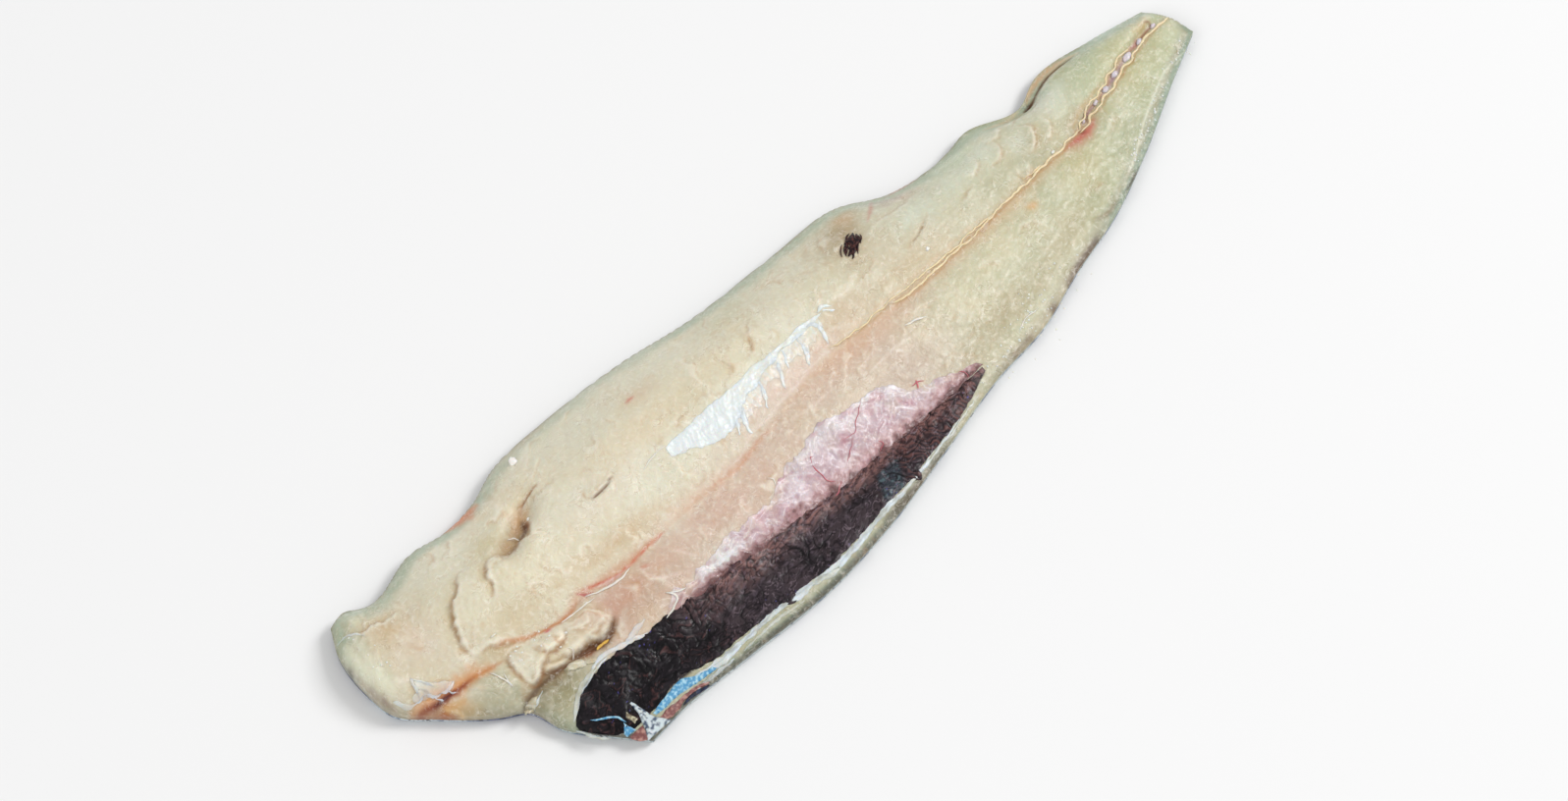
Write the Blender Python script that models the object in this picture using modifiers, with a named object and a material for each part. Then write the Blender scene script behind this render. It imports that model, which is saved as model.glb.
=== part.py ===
"""A raw hoki fillet, skin on, lying skin side down with its cut side up.

Units are metres. +X runs from the head end to the tail end, +Y from the belly to the back, +Z up.
The origin is the middle of the plan, on the surface that the fillet lies on.

The plan is a patch stretched between four edge curves. A point of it has two shares: u along the
fillet, from head to tail, and w across it, from belly to back. The cut side's height is a loft
through named cross-sections, rounded down to a thin rim at the outline, with the fold, gape,
flake edge and bone trough of a real fillet cut into it.
"""

import bmesh
import bpy
import numpy as np

SKIN_THICKNESS = 0.0009
GAP = 0.0003  # clearance between neighbouring solids
EDGE_LIFT = 0.0020  # how far the edge of the skin curls up off the surface below
EDGE_CURL = 0.010  # how far in from the outline that curl starts
RIM_HEIGHT = 0.0018  # upright wall of flesh at the outline
ROUND_OVER = 0.0075  # width of the rounded shoulder inside the outline

# The outline, as (x, y): the back and belly edges run from head to tail, the ends from belly to back.
BACK_EDGE = (
    (-0.1905, 0.0500),
    (-0.1845, 0.0515),
    (-0.1765, 0.0475),
    (-0.1520, 0.0520),
    (-0.1380, 0.0497),
    (-0.1240, 0.0515),
    (-0.1120, 0.0560),
    (-0.0850, 0.0577),
    (-0.0500, 0.0560),
    (-0.0200, 0.0515),
    (0.0200, 0.0498),
    (0.0495, 0.0482),
    (0.0670, 0.0392),
    (0.0960, 0.0364),
    (0.1060, 0.0381),
    (0.1285, 0.0315),
    (0.1420, 0.0365),
    (0.1680, 0.0338),
    (0.1920, 0.0290),
)
BELLY_EDGE = (
    (-0.1418, -0.0558),
    (-0.1240, -0.0545),
    (-0.1000, -0.0560),
    (-0.0570, -0.0580),
    (-0.0280, -0.0551),
    (0.0080, -0.0480),
    (0.0400, -0.0413),
    (0.0680, -0.0382),
    (0.0920, -0.0312),
    (0.1200, -0.0245),
    (0.1480, -0.0137),
    (0.1780, 0.0003),
    (0.1992, 0.0095),
)
HEAD_END = (
    (-0.1418, -0.0558),
    (-0.1503, -0.0450),
    (-0.1602, -0.0315),
    (-0.1638, -0.0195),
    (-0.1720, -0.0138),
    (-0.1870, 0.0005),
    (-0.1965, 0.0115),
    (-0.1978, 0.0260),
    (-0.1955, 0.0405),
    (-0.1905, 0.0500),
)
TAIL_END = ((0.1992, 0.0095), (0.1975, 0.0195), (0.1920, 0.0290))

# Heights of the cut side above the surface below, at stations along the fillet:
# x, back shoulder, loin crest, midline, belly-side crest, belly wall, belly shoulder.
SECTIONS = (
    (-0.200, 0.0080, 0.0150, 0.0125, 0.0100, 0.0070, 0.0058),
    (-0.160, 0.0090, 0.0200, 0.0160, 0.0138, 0.0076, 0.0058),
    (-0.110, 0.0095, 0.0235, 0.0185, 0.0165, 0.0080, 0.0058),
    (-0.050, 0.0090, 0.0245, 0.0196, 0.0172, 0.0084, 0.0060),
    (0.020, 0.0085, 0.0215, 0.0180, 0.0160, 0.0098, 0.0066),
    (0.090, 0.0075, 0.0165, 0.0145, 0.0133, 0.0100, 0.0066),
    (0.150, 0.0070, 0.0125, 0.0113, 0.0106, 0.0086, 0.0064),
    (0.200, 0.0060, 0.0095, 0.0092, 0.0087, 0.0072, 0.0060),
)
# Where those heights lie across a section: +1 is the back edge, 0 the midline, -1 the belly edge.
ACROSS = (1.0, 0.5, 0.0, -0.28, -0.62, -1.0)

# The midline, where the backbone was cut away.
MIDLINE = (
    (-0.1950, 0.0060),
    (-0.1780, 0.0020),
    (-0.1500, -0.0040),
    (-0.1200, -0.0060),
    (-0.0950, -0.0075),
    (-0.0500, -0.0030),
    (0.0000, 0.0010),
    (0.0500, 0.0005),
    (0.1000, 0.0045),
    (0.1330, 0.0070),
    (0.1600, 0.0150),
    (0.1950, 0.0210),
)
MIDLINE_DEPTH, MIDLINE_WIDTH = 0.0016, 0.0035

# The fold between the shoulder and the belly flap, from the head end inwards.
FLAP_FOLD = (
    (-0.1680, -0.0195),
    (-0.1590, -0.0170),
    (-0.1490, -0.0175),
    (-0.1380, -0.0205),
    (-0.1270, -0.0205),
)
FLAP_FOLD_DEPTH, FLAP_FOLD_WIDTH = 0.0050, 0.0045

# The gape, a torn pit in the loin.
GAPE = ((-0.1380, 0.0215), (-0.1270, 0.0262), (-0.1190, 0.0310), (-0.1100, 0.0345))
GAPE_DEPTH, GAPE_WIDTH = 0.0065, 0.0040

# Flakes of muscle that stand proud: the free edge, which has its flake on the left, how high it
# stands, and how far back the flake takes to run out.
FLAKES = (
    (((-0.1530, 0.0280), (-0.1640, 0.0160), (-0.1670, 0.0075), (-0.1640, 0.0010)), 0.0024, 0.0220),
    (((-0.1370, 0.0250), (-0.1435, 0.0220), (-0.1460, 0.0165), (-0.1490, 0.0110)), 0.0015, 0.0140),
    (((-0.1610, -0.0120), (-0.1500, -0.0142), (-0.1390, -0.0175), (-0.1230, -0.0170)), 0.0020, 0.0090),
)

# The ledge along the back edge near the tail, where the loin has come away from the skin.
LEDGE = ((0.1000, 0.0300), (0.1150, 0.0290), (0.1290, 0.0280), (0.1400, 0.0320), (0.1560, 0.0325))
LEDGE_DROP, LEDGE_SOFTNESS = 0.0036, 0.0012

# The trough of the cut bones at the tail end.
BONE_TROUGH = ((0.1330, 0.0070), (0.1460, 0.0105), (0.1600, 0.0155), (0.1780, 0.0195), (0.1930, 0.0215))
TROUGH_DEPTH, TROUGH_WIDTH = 0.0012, 0.0020

# The black lining on the belly wall: its edge towards the midline and its edge towards the belly.
LINING_INNER = (
    (-0.1570, -0.0350),
    (-0.1510, -0.0295),
    (-0.1380, -0.0267),
    (-0.1200, -0.0285),
    (-0.0900, -0.0305),
    (-0.0500, -0.0335),
    (-0.0150, -0.0352),
    (0.0380, -0.0356),
)
LINING_OUTER = (
    (-0.1570, -0.0365),
    (-0.1535, -0.0420),
    (-0.1470, -0.0480),
    (-0.1250, -0.0480),
    (-0.0900, -0.0508),
    (-0.0520, -0.0525),
    (-0.0200, -0.0495),
    (0.0060, -0.0458),
    (0.0220, -0.0425),
    (0.0380, -0.0372),
)
LINING_THICKNESS, LINING_GAP = 0.0006, 0.0004

# How finely each solid is divided.
LENGTH_STEPS, WIDTH_STEPS = 64, 33
LINING_STEPS, LINING_ROWS = 30, 6
OUTLINE_SAMPLES, CURVE_SAMPLES = 160, 24
CROWDING = 0.6  # how far the grid's lines crowd towards the outline, from 0 to 1


def smooth(knots, values, at):
    """A cubic through the knots, as steep at each one as its two neighbours are apart."""
    knots, values, at = (np.asarray(a, float) for a in (knots, values, at))
    if values.ndim == 1:
        values = np.repeat(values[:, None], len(at), axis=1)
    slopes = np.gradient(values, knots, axis=0)
    i = np.clip(np.searchsorted(knots, at) - 1, 0, len(knots) - 2)
    n = np.arange(len(at))
    step = knots[i + 1] - knots[i]
    s = np.clip((at - knots[i]) / step, 0, 1)
    return (
        (2 * s**3 - 3 * s**2 + 1) * values[i, n]
        + (s**3 - 2 * s**2 + s) * step * slopes[i, n]
        + (3 * s**2 - 2 * s**3) * values[i + 1, n]
        + (s**3 - s**2) * step * slopes[i + 1, n]
    )


def along(curve, share):
    """Points of a curve at shares of its length, the curve running smoothly through its own points."""
    curve = np.asarray(curve, float)
    run = np.concatenate([[0], np.cumsum(np.linalg.norm(np.diff(curve, axis=0), axis=1))])
    at = np.asarray(share, float) * run[-1]
    return np.stack([smooth(run, curve[:, k], at) for k in range(2)], axis=-1)


def plan(u, w):
    """The patch between the four edges: each pair is blended across, less the corners counted twice."""
    u, w = u[:, None], w[:, None]
    belly, back = along(BELLY_EDGE, u[:, 0]), along(BACK_EDGE, u[:, 0])
    head, tail = along(HEAD_END, w[:, 0]), along(TAIL_END, w[:, 0])
    corners = (
        (1 - u) * (1 - w) * np.array(HEAD_END[0])
        + (1 - u) * w * np.array(HEAD_END[-1])
        + u * (1 - w) * np.array(TAIL_END[0])
        + u * w * np.array(TAIL_END[-1])
    )
    return (1 - u) * head + u * tail + (1 - w) * belly + w * back - corners


def nearest(points, line):
    """For each point, its distance from a polyline, how far along the nearest spot is, and the side:
    positive on the left of the line's own direction."""
    starts, runs = line[:-1], np.diff(line, axis=0)
    lengths = np.linalg.norm(runs, axis=1)
    off = points[:, None] - starts
    share = np.clip((off * runs).sum(-1) / lengths**2, 0, 1)
    gaps = off - share[..., None] * runs
    distance = np.linalg.norm(gaps, axis=-1)
    best = distance.argmin(1)
    n = np.arange(len(points))
    run, gap = runs[best], gaps[n, best]
    side = np.sign(run[:, 0] * gap[:, 1] - run[:, 1] * gap[:, 0])
    before = np.concatenate([[0], np.cumsum(lengths)])
    reach = (before[best] + share[n, best] * lengths[best]) / before[-1]
    return distance[n, best], reach, side


def outline():
    """The closed outline of the plan, as a polyline."""
    share = np.linspace(0, 1, OUTLINE_SAMPLES)
    sides = (BELLY_EDGE, TAIL_END, BACK_EDGE[::-1], HEAD_END[::-1])
    return np.concatenate([along(side, share)[:-1] for side in sides] + [[BELLY_EDGE[0]]])


def fade(distance, width):
    """1 on a line, falling smoothly to 0 a few widths away."""
    return np.exp(-((distance / width) ** 2))


def inset(points):
    """How far in from the outline each point is."""
    return nearest(points, outline())[0]


def underside(points):
    """Height of the skin's upper face: flat, and curled up near the outline."""
    inward = np.clip(inset(points) / EDGE_CURL, 0, 1)
    return SKIN_THICKNESS + EDGE_LIFT * (1 - inward) ** 2


def section_height(points):
    """Height of the cut side from the named sections, before rounding and relief."""
    x, y = points[:, 0], points[:, 1]
    samples = np.linspace(0, 1, OUTLINE_SAMPLES)

    def edge_at(curve):
        line = along(curve, samples)
        order = np.argsort(line[:, 0])
        return np.interp(x, line[order, 0], line[order, 1])

    back, middle, belly = (edge_at(c) for c in (BACK_EDGE, MIDLINE, BELLY_EDGE))
    across = np.where(y > middle, (y - middle) / (back - middle), (y - middle) / (middle - belly))
    stations = np.array(SECTIONS)
    heights = [smooth(stations[:, 0], column, x) for column in stations[:, 1:].T]
    order = np.argsort(ACROSS)
    return smooth(np.array(ACROSS)[order], np.array(heights)[order], np.clip(across, -1, 1))


def relief(points):
    """What is cut into, or stands on, the loft."""
    samples = np.linspace(0, 1, CURVE_SAMPLES)

    def line(curve):
        return nearest(points, along(curve, samples))

    distance, _, _ = line(MIDLINE)
    height = -MIDLINE_DEPTH * fade(distance, MIDLINE_WIDTH)
    distance, _, _ = line(BONE_TROUGH)
    height -= TROUGH_DEPTH * fade(distance, TROUGH_WIDTH)
    distance, reach, _ = line(FLAP_FOLD)
    height -= FLAP_FOLD_DEPTH * (1 - 0.5 * reach) * fade(distance, FLAP_FOLD_WIDTH)
    distance, reach, _ = line(GAPE)
    height -= GAPE_DEPTH * np.sin(np.pi * reach) * fade(distance, GAPE_WIDTH)
    distance, reach, side = line(LEDGE)
    height -= LEDGE_DROP * np.sin(np.pi * reach) / (1 + np.exp(-side * distance / LEDGE_SOFTNESS))
    for edge, rise, run_out in FLAKES:
        distance, reach, side = line(edge)
        height += np.where(side > 0, rise * fade(distance, run_out), 0) * np.sin(np.pi * reach)
    return height


def cut_side(points):
    """Height of the cut side: the loft and its relief, rounded down to the rim at the outline."""
    rim = underside(points) + GAP + RIM_HEIGHT
    inward = np.clip(inset(points) / ROUND_OVER, 0, 1)
    full = np.maximum(section_height(points) + relief(points), rim)
    return rim + (full - rim) * np.sqrt(1 - (1 - inward) ** 2)


def crowded(steps):
    """Shares from 0 to 1 whose spacing tightens at both ends."""
    share = np.linspace(0, 1, steps + 1)
    return share - CROWDING * np.sin(2 * np.pi * share) / (2 * np.pi)


def grid_object(name, columns, rows, place):
    """A new object from a flat grid whose vertices are moved where place puts their two shares."""
    bm = bmesh.new()
    bmesh.ops.create_grid(bm, x_segments=columns, y_segments=rows, size=0.5)
    shares = np.array([vert.co[:2] for vert in bm.verts]) + 0.5
    for vert, position in zip(bm.verts, place(shares)):
        vert.co = position
    mesh = bpy.data.meshes.new(name)
    bm.to_mesh(mesh)
    bm.free()
    return bpy.data.objects.new(name, mesh)


def plan_of(shares):
    """The plan points of a grid's shares, crowded towards the outline."""
    u = np.interp(shares[:, 0], np.linspace(0, 1, LENGTH_STEPS + 1), crowded(LENGTH_STEPS))
    w = np.interp(shares[:, 1], np.linspace(0, 1, WIDTH_STEPS + 1), crowded(WIDTH_STEPS))
    return plan(u, w)


def make_flesh():
    """The muscle: a sheet along the underside, its copy raised to the cut side, and the rim between."""

    def place(shares):
        points = plan_of(shares)
        return np.column_stack([points, underside(points) + GAP])

    flesh = grid_object("flesh", LENGTH_STEPS, WIDTH_STEPS, place)
    bm = bmesh.new()
    bm.from_mesh(flesh.data)
    raised = bmesh.ops.extrude_face_region(bm, geom=bm.faces[:], use_keep_orig=True)["geom"]
    verts = [part for part in raised if isinstance(part, bmesh.types.BMVert)]
    heights = cut_side(np.array([vert.co[:2] for vert in verts]))
    for vert, height in zip(verts, heights):
        vert.co.z = height
    bmesh.ops.recalc_face_normals(bm, faces=bm.faces[:])
    bm.to_mesh(flesh.data)
    bm.free()
    return flesh


def make_skin():
    """The skin: a sheet under the flesh, thickened downwards to the surface that it lies on."""

    def place(shares):
        points = plan_of(shares)
        return np.column_stack([points, underside(points)])

    skin = grid_object("skin", LENGTH_STEPS, WIDTH_STEPS, place)
    thicken(skin, SKIN_THICKNESS, -1)
    return skin


def make_lining():
    """The black lining: a sheet laid on the belly wall, thickened upwards."""

    def place(shares):
        inner, outer = along(LINING_INNER, shares[:, 0]), along(LINING_OUTER, shares[:, 0])
        points = outer + (inner - outer) * shares[:, 1:]
        return np.column_stack([points, cut_side(points) + LINING_GAP])

    lining = grid_object("belly_lining", LINING_STEPS, LINING_ROWS, place)
    thicken(lining, LINING_THICKNESS, 1)
    return lining


def thicken(sheet, thickness, offset):
    """A shell of even thickness, on the upper side of the sheet where offset is 1."""
    modifier = sheet.modifiers.new("thickness", "SOLIDIFY")
    modifier.thickness = thickness
    modifier.offset = offset


def finish(obj, colour, roughness, collection):
    """Puts an object in the collection, smooth shaded, with its own plain material."""
    material = bpy.data.materials.new(obj.name)
    material.use_nodes = True
    shader = material.node_tree.nodes["Principled BSDF"]
    shader.inputs["Base Color"].default_value = (*colour, 1)
    shader.inputs["Roughness"].default_value = roughness
    obj.data.materials.append(material)
    obj.data.shade_smooth()
    obj.data.set_sharp_from_angle(angle=np.radians(50))
    collection.objects.link(obj)


def main():
    for obj in list(bpy.data.objects):
        bpy.data.objects.remove(obj)
    fillet = bpy.data.collections.new("hoki_fillet")
    bpy.context.scene.collection.children.link(fillet)
    finish(make_flesh(), (0.68, 0.62, 0.45), 0.35, fillet)
    finish(make_skin(), (0.20, 0.27, 0.36), 0.30, fillet)
    finish(make_lining(), (0.035, 0.027, 0.032), 0.40, fillet)


main()
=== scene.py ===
"""The looks of a raw hoki fillet that lies skin side down, with its cut side up.

Lengths here are in millimetres and colours are 0 to 255 sRGB, until a mesh or a shader is made.
+X runs from the head end to the tail, +Y from the belly to the back, and +Z up.

The cut side is worked out once as a chart: a raster over the plan that holds its height and its
colour. The pieces that lie on the flesh read their height from the chart, so they follow it.
"""

import bmesh
import bpy
import numpy as np
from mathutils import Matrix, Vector


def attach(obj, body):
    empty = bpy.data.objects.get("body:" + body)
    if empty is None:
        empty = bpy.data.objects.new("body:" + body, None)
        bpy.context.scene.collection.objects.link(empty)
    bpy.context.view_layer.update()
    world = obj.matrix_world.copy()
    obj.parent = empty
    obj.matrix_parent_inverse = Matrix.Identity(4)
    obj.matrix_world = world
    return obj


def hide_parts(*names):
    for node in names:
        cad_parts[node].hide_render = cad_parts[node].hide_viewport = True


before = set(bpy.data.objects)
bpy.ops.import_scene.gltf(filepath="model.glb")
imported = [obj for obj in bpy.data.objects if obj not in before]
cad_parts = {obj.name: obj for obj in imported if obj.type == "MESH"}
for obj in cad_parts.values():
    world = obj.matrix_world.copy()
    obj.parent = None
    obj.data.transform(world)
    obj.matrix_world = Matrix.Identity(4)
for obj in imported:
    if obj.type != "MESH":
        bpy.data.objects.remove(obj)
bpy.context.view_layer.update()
MM = 0.001

# ---- The form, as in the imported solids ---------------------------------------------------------

SKIN_THICKNESS, GAP = 0.9, 0.3
EDGE_LIFT, EDGE_CURL = 2.0, 10.0
RIM_HEIGHT, ROUND_OVER = 1.8, 7.5

BACK_EDGE = (
    (-190.5, 50.0), (-184.5, 51.5), (-176.5, 47.5), (-152.0, 52.0), (-138.0, 49.7), (-124.0, 51.5),
    (-112.0, 56.0), (-85.0, 57.7), (-50.0, 56.0), (-20.0, 51.5), (20.0, 49.8), (49.5, 48.2),
    (67.0, 39.2), (96.0, 36.4), (106.0, 38.1), (128.5, 31.5), (142.0, 36.5), (168.0, 33.8),
    (192.0, 29.0),
)
BELLY_EDGE = (
    (-141.8, -55.8), (-124.0, -54.5), (-100.0, -56.0), (-57.0, -58.0), (-28.0, -55.1), (8.0, -48.0),
    (40.0, -41.3), (68.0, -38.2), (92.0, -31.2), (120.0, -24.5), (148.0, -13.7), (178.0, 0.3),
    (199.2, 9.5),
)
HEAD_END = (
    (-141.8, -55.8), (-150.3, -45.0), (-160.2, -31.5), (-163.8, -19.5), (-172.0, -13.8),
    (-187.0, 0.5), (-196.5, 11.5), (-197.8, 26.0), (-195.5, 40.5), (-190.5, 50.0),
)
TAIL_END = ((199.2, 9.5), (197.5, 19.5), (192.0, 29.0))

# x, back shoulder, loin crest, midline, belly-side crest, belly wall, belly shoulder
SECTIONS = (
    (-200, 8.0, 15.0, 12.5, 10.0, 7.0, 5.8),
    (-160, 9.0, 20.0, 16.0, 13.8, 7.6, 5.8),
    (-110, 9.5, 23.5, 18.5, 16.5, 8.0, 5.8),
    (-50, 9.0, 24.5, 19.6, 17.2, 8.4, 6.0),
    (20, 8.5, 21.5, 18.0, 16.0, 9.8, 6.6),
    (90, 7.5, 16.5, 14.5, 13.3, 10.0, 6.6),
    (150, 7.0, 12.5, 11.3, 10.6, 8.6, 6.4),
    (200, 6.0, 9.5, 9.2, 8.7, 7.2, 6.0),
)
ACROSS = (1.0, 0.5, 0.0, -0.28, -0.62, -1.0)

# Where the loin and the belly side meet.
MIDLINE = (
    (-195, 6.0), (-178, 2.0), (-150, -4.0), (-120, -6.0), (-95, -7.5), (-50, -3.0), (0, 1.0),
    (50, 0.5), (100, 4.5), (133, 7.0), (160, 15.0), (195, 21.0),
)
# The folds, gaps and steps of the cut side.
FLAP_FOLD = ((-168, -19.5), (-159, -17), (-149, -17.5), (-138, -20.5), (-127, -20.5))
GAPE = ((-138, 21.5), (-127, 26.2), (-119, 31), (-110, 34.5))
LEDGE = ((100, 30), (115, 29), (129, 28), (140, 32), (156, 32.5))
BONE_TROUGH = ((133, 7), (146, 10.5), (160, 15.5), (178, 19.5), (193, 21.5))
# Large steps, each a free edge with its flake on the left: edge, rise, run-out.
FLAKES = (
    (((-148, 28.6), (-153, 26.8), (-155, 23.4), (-158, 22), (-162, 18), (-165, 13), (-166.8, 7),
      (-165.6, 2)), 2.6, 20),
    (((-135, 24), (-139.5, 24.6), (-143, 22.4), (-144.7, 19.6), (-145.4, 16.6), (-149, 12)),
      1.7, 13),
    (((-159, -13.6), (-150, -14.2), (-139, -17.5), (-123, -17)), 1.1, 5),
)
LINING_INNER = (
    (-157, -35), (-151, -29.5), (-138, -26.7), (-120, -28.5), (-90, -30.5), (-50, -33.5),
    (-15, -35.2), (38, -35.6),
)
LINING_OUTER = (
    (-157, -36.5), (-153.5, -42), (-147, -48), (-125, -48), (-90, -50.8), (-52, -52.5),
    (-20, -49.5), (6, -45.8), (22, -42.5), (38, -37.2),
)

# ---- Curves, distances and noise ---------------------------------------------------------------


def length_of(line):
    """The length of a polyline."""
    return np.linalg.norm(np.diff(line, axis=0), axis=1).sum()


def run_along(line):
    """How far along a polyline each of its own points is."""
    return np.concatenate([[0], np.cumsum(np.linalg.norm(np.diff(line, axis=0), axis=1))])


def smooth(knots, values, at):
    """A cubic through the knots, as steep at each one as its two neighbours are apart."""
    knots, values, at = (np.asarray(a, float) for a in (knots, values, at))
    if values.ndim == 1:
        values = np.repeat(values[:, None], len(at), axis=1)
    slopes = np.gradient(values, knots, axis=0)
    i = np.clip(np.searchsorted(knots, at) - 1, 0, len(knots) - 2)
    n = np.arange(len(at))
    step = knots[i + 1] - knots[i]
    s = np.clip((at - knots[i]) / step, 0, 1)
    return (
        (2 * s**3 - 3 * s**2 + 1) * values[i, n]
        + (s**3 - 2 * s**2 + s) * step * slopes[i, n]
        + (3 * s**2 - 2 * s**3) * values[i + 1, n]
        + (s**3 - s**2) * step * slopes[i + 1, n]
    )


def along(curve, share):
    """Points of a curve at shares of its length: it runs smoothly through its own points."""
    curve = np.asarray(curve, float)
    run = run_along(curve)
    at = np.asarray(share, float) * run[-1]
    return np.stack([smooth(run, curve[:, k], at) for k in range(curve.shape[1])], axis=-1)


def plan(u, w):
    """The patch between the four edges: each pair blended across, less the corners counted twice."""
    u, w = u[:, None], w[:, None]
    belly, back = along(BELLY_EDGE, u[:, 0]), along(BACK_EDGE, u[:, 0])
    head, tail = along(HEAD_END, w[:, 0]), along(TAIL_END, w[:, 0])
    corners = (
        (1 - u) * (1 - w) * np.array(HEAD_END[0])
        + (1 - u) * w * np.array(HEAD_END[-1])
        + u * (1 - w) * np.array(TAIL_END[0])
        + u * w * np.array(TAIL_END[-1])
    )
    return (1 - u) * head + u * tail + (1 - w) * belly + w * back - corners


def nearest(points, line):
    """For each point, its distance from a polyline, how far along the nearest spot is, and the side:
    positive on the left of the line's own direction."""
    starts, runs = line[:-1], np.diff(line, axis=0)
    lengths = np.linalg.norm(runs, axis=1)
    off = points[:, None] - starts
    share = np.clip((off * runs).sum(-1) / lengths**2, 0, 1)
    gaps = off - share[..., None] * runs
    distance = np.linalg.norm(gaps, axis=-1)
    best = distance.argmin(1)
    n = np.arange(len(points))
    run, gap = runs[best], gaps[n, best]
    side = np.sign(run[:, 0] * gap[:, 1] - run[:, 1] * gap[:, 0])
    before = np.concatenate([[0], np.cumsum(lengths)])
    reach = (before[best] + share[n, best] * lengths[best]) / before[-1]
    return distance[n, best], reach, side


def outline():
    """The closed outline of the plan, as a polyline."""
    share = np.linspace(0, 1, 70)
    sides = (BELLY_EDGE, TAIL_END, BACK_EDGE[::-1], HEAD_END[::-1])
    return np.concatenate([along(side, share)[:-1] for side in sides] + [[BELLY_EDGE[0]]])


def inside(points, ring):
    """True where a point is inside a closed polyline: a ray from it crosses the line an odd number
    of times."""
    x, y = points[..., 0], points[..., 1]
    odd = np.zeros(x.shape, bool)
    for (x1, y1), (x2, y2) in zip(ring[:-1], ring[1:]):
        if y1 != y2:
            odd ^= ((y1 > y) != (y2 > y)) & (x < (x2 - x1) * (y - y1) / (y2 - y1) + x1)
    return odd


LATTICE, SWELL, SHIFT = 64, 1.5, 11.7  # the noise's period, its strength, and its octaves' offset


def noise(points, size, seed, octaves=1):
    """Smooth random swells of about that size, from -1 to 1: slopes drawn for the corners of a
    square lattice, blended between them, with half as much again at half the size."""
    slopes = np.random.default_rng(seed).uniform(0, 2 * np.pi, (LATTICE, LATTICE))
    slopes = np.stack([np.cos(slopes), np.sin(slopes)], -1)
    total = 0
    for octave in range(octaves):
        p = points / size * 2**octave + SHIFT * octave
        cell = np.floor(p).astype(int)
        f = p - cell
        ease = f**3 * (f * (f * 6 - 15) + 10)
        corners = {}
        for i, j in ((0, 0), (0, 1), (1, 0), (1, 1)):
            slope = slopes[(cell[..., 0] + i) % LATTICE, (cell[..., 1] + j) % LATTICE]
            corners[i, j] = (slope * (f - (i, j))).sum(-1)
        low, high = (
            corners[i, 0] + ease[..., 1] * (corners[i, 1] - corners[i, 0]) for i in (0, 1)
        )
        total = total + (low + ease[..., 0] * (high - low)) * SWELL / 2**octave
    return total


def bent(points, size, seed, reach, octaves=1):
    """The points, each moved up to about that reach by two sets of random swells."""
    return points + reach * np.stack([noise(points, size, seed + k, octaves) for k in (0, 1)], -1)


def turned(x, y, degrees):
    """Plan coordinates turned about the origin, from +X towards +Y."""
    c, s = np.cos(np.radians(degrees)), np.sin(np.radians(degrees))
    return x * c - y * s, x * s + y * c


def wavering(values, size, seed):
    """Smooth random swells along a line of values."""
    values = np.asarray(values, float)
    return noise(np.stack([values, np.full_like(values, 0.37 * size)], -1), size, seed, 2)


def fade(distance, width):
    """1 on a line, falling smoothly to 0 a few widths away."""
    return np.exp(-((distance / width) ** 2))


def ramp(value, low, high):
    """0 below low, 1 above high, and a smooth rise between."""
    t = np.clip((value - low) / (high - low), 0, 1)
    return t * t * (3 - 2 * t)


# ---- The chart: height and colour over the plan ------------------------------------------------

CELL = 0.5
XS, YS = np.arange(-204, 204.1, CELL), np.arange(-63, 63.1, CELL)
SPOTS = np.stack(np.meshgrid(XS, YS), -1)
X, Y = SPOTS[..., 0], SPOTS[..., 1]


def near(curve, reach_out=None, samples=40):
    """The chart's window round a curve, with each spot's distance, reach along it and side."""
    line = along(curve, np.linspace(0, 1, samples))
    if reach_out is None:
        window = np.s_[:, :]
    else:
        low, high = line.min(0) - reach_out, line.max(0) + reach_out
        rows = slice(*np.searchsorted(YS, (low[1], high[1])))
        window = (rows, slice(*np.searchsorted(XS, (low[0], high[0]))))
    spots = SPOTS[window]
    flat, batch = spots.reshape(-1, 2), 8000  # in batches, so that it takes little memory
    parts = [nearest(flat[i : i + batch], line) for i in range(0, len(flat), batch)]
    return window, *(np.concatenate(part).reshape(spots.shape[:2]) for part in zip(*parts))


def read(chart, points):
    """The chart's value at any plan points, blended between the four spots round each."""
    across = np.clip((points[..., 0] - XS[0]) / CELL, 0, len(XS) - 1.001)
    up = np.clip((points[..., 1] - YS[0]) / CELL, 0, len(YS) - 1.001)
    i, j = across.astype(int), up.astype(int)
    a, b = across - i, up - j
    if chart.ndim == 3:
        a, b = a[..., None], b[..., None]
    low = chart[j, i] * (1 - a) + chart[j, i + 1] * a
    high = chart[j + 1, i] * (1 - a) + chart[j + 1, i + 1] * a
    return low * (1 - b) + high * b


def blurred(chart, width):
    """The chart averaged over a soft round brush, by way of its spectrum."""
    fy, fx = np.fft.fftfreq(chart.shape[0], CELL), np.fft.fftfreq(chart.shape[1], CELL)
    keep = np.exp(-2 * (np.pi * width) ** 2 * (fy[:, None] ** 2 + fx[None] ** 2))
    return np.real(np.fft.ifft2(np.fft.fft2(chart) * keep))


def edge_at(curve):
    """The y of a lengthwise curve at each x of the chart."""
    line = along(curve, np.linspace(0, 1, 160))
    order = np.argsort(line[:, 0])
    return np.interp(X, line[order, 0], line[order, 1])


# How far in from the outline each spot is, and which side of the midline: 1 at the back, -1 at
# the belly.
OUTLINE = outline()
_, INSET, _, _ = near(OUTLINE, samples=len(OUTLINE))
BACK_Y, MIDDLE_Y, BELLY_Y = (edge_at(curve) for curve in (BACK_EDGE, MIDLINE, BELLY_EDGE))
SHARE = np.where(
    Y > MIDDLE_Y, (Y - MIDDLE_Y) / (BACK_Y - MIDDLE_Y), (Y - MIDDLE_Y) / (MIDDLE_Y - BELLY_Y)
)
SHARE = np.clip(SHARE, -1, 1)


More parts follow.
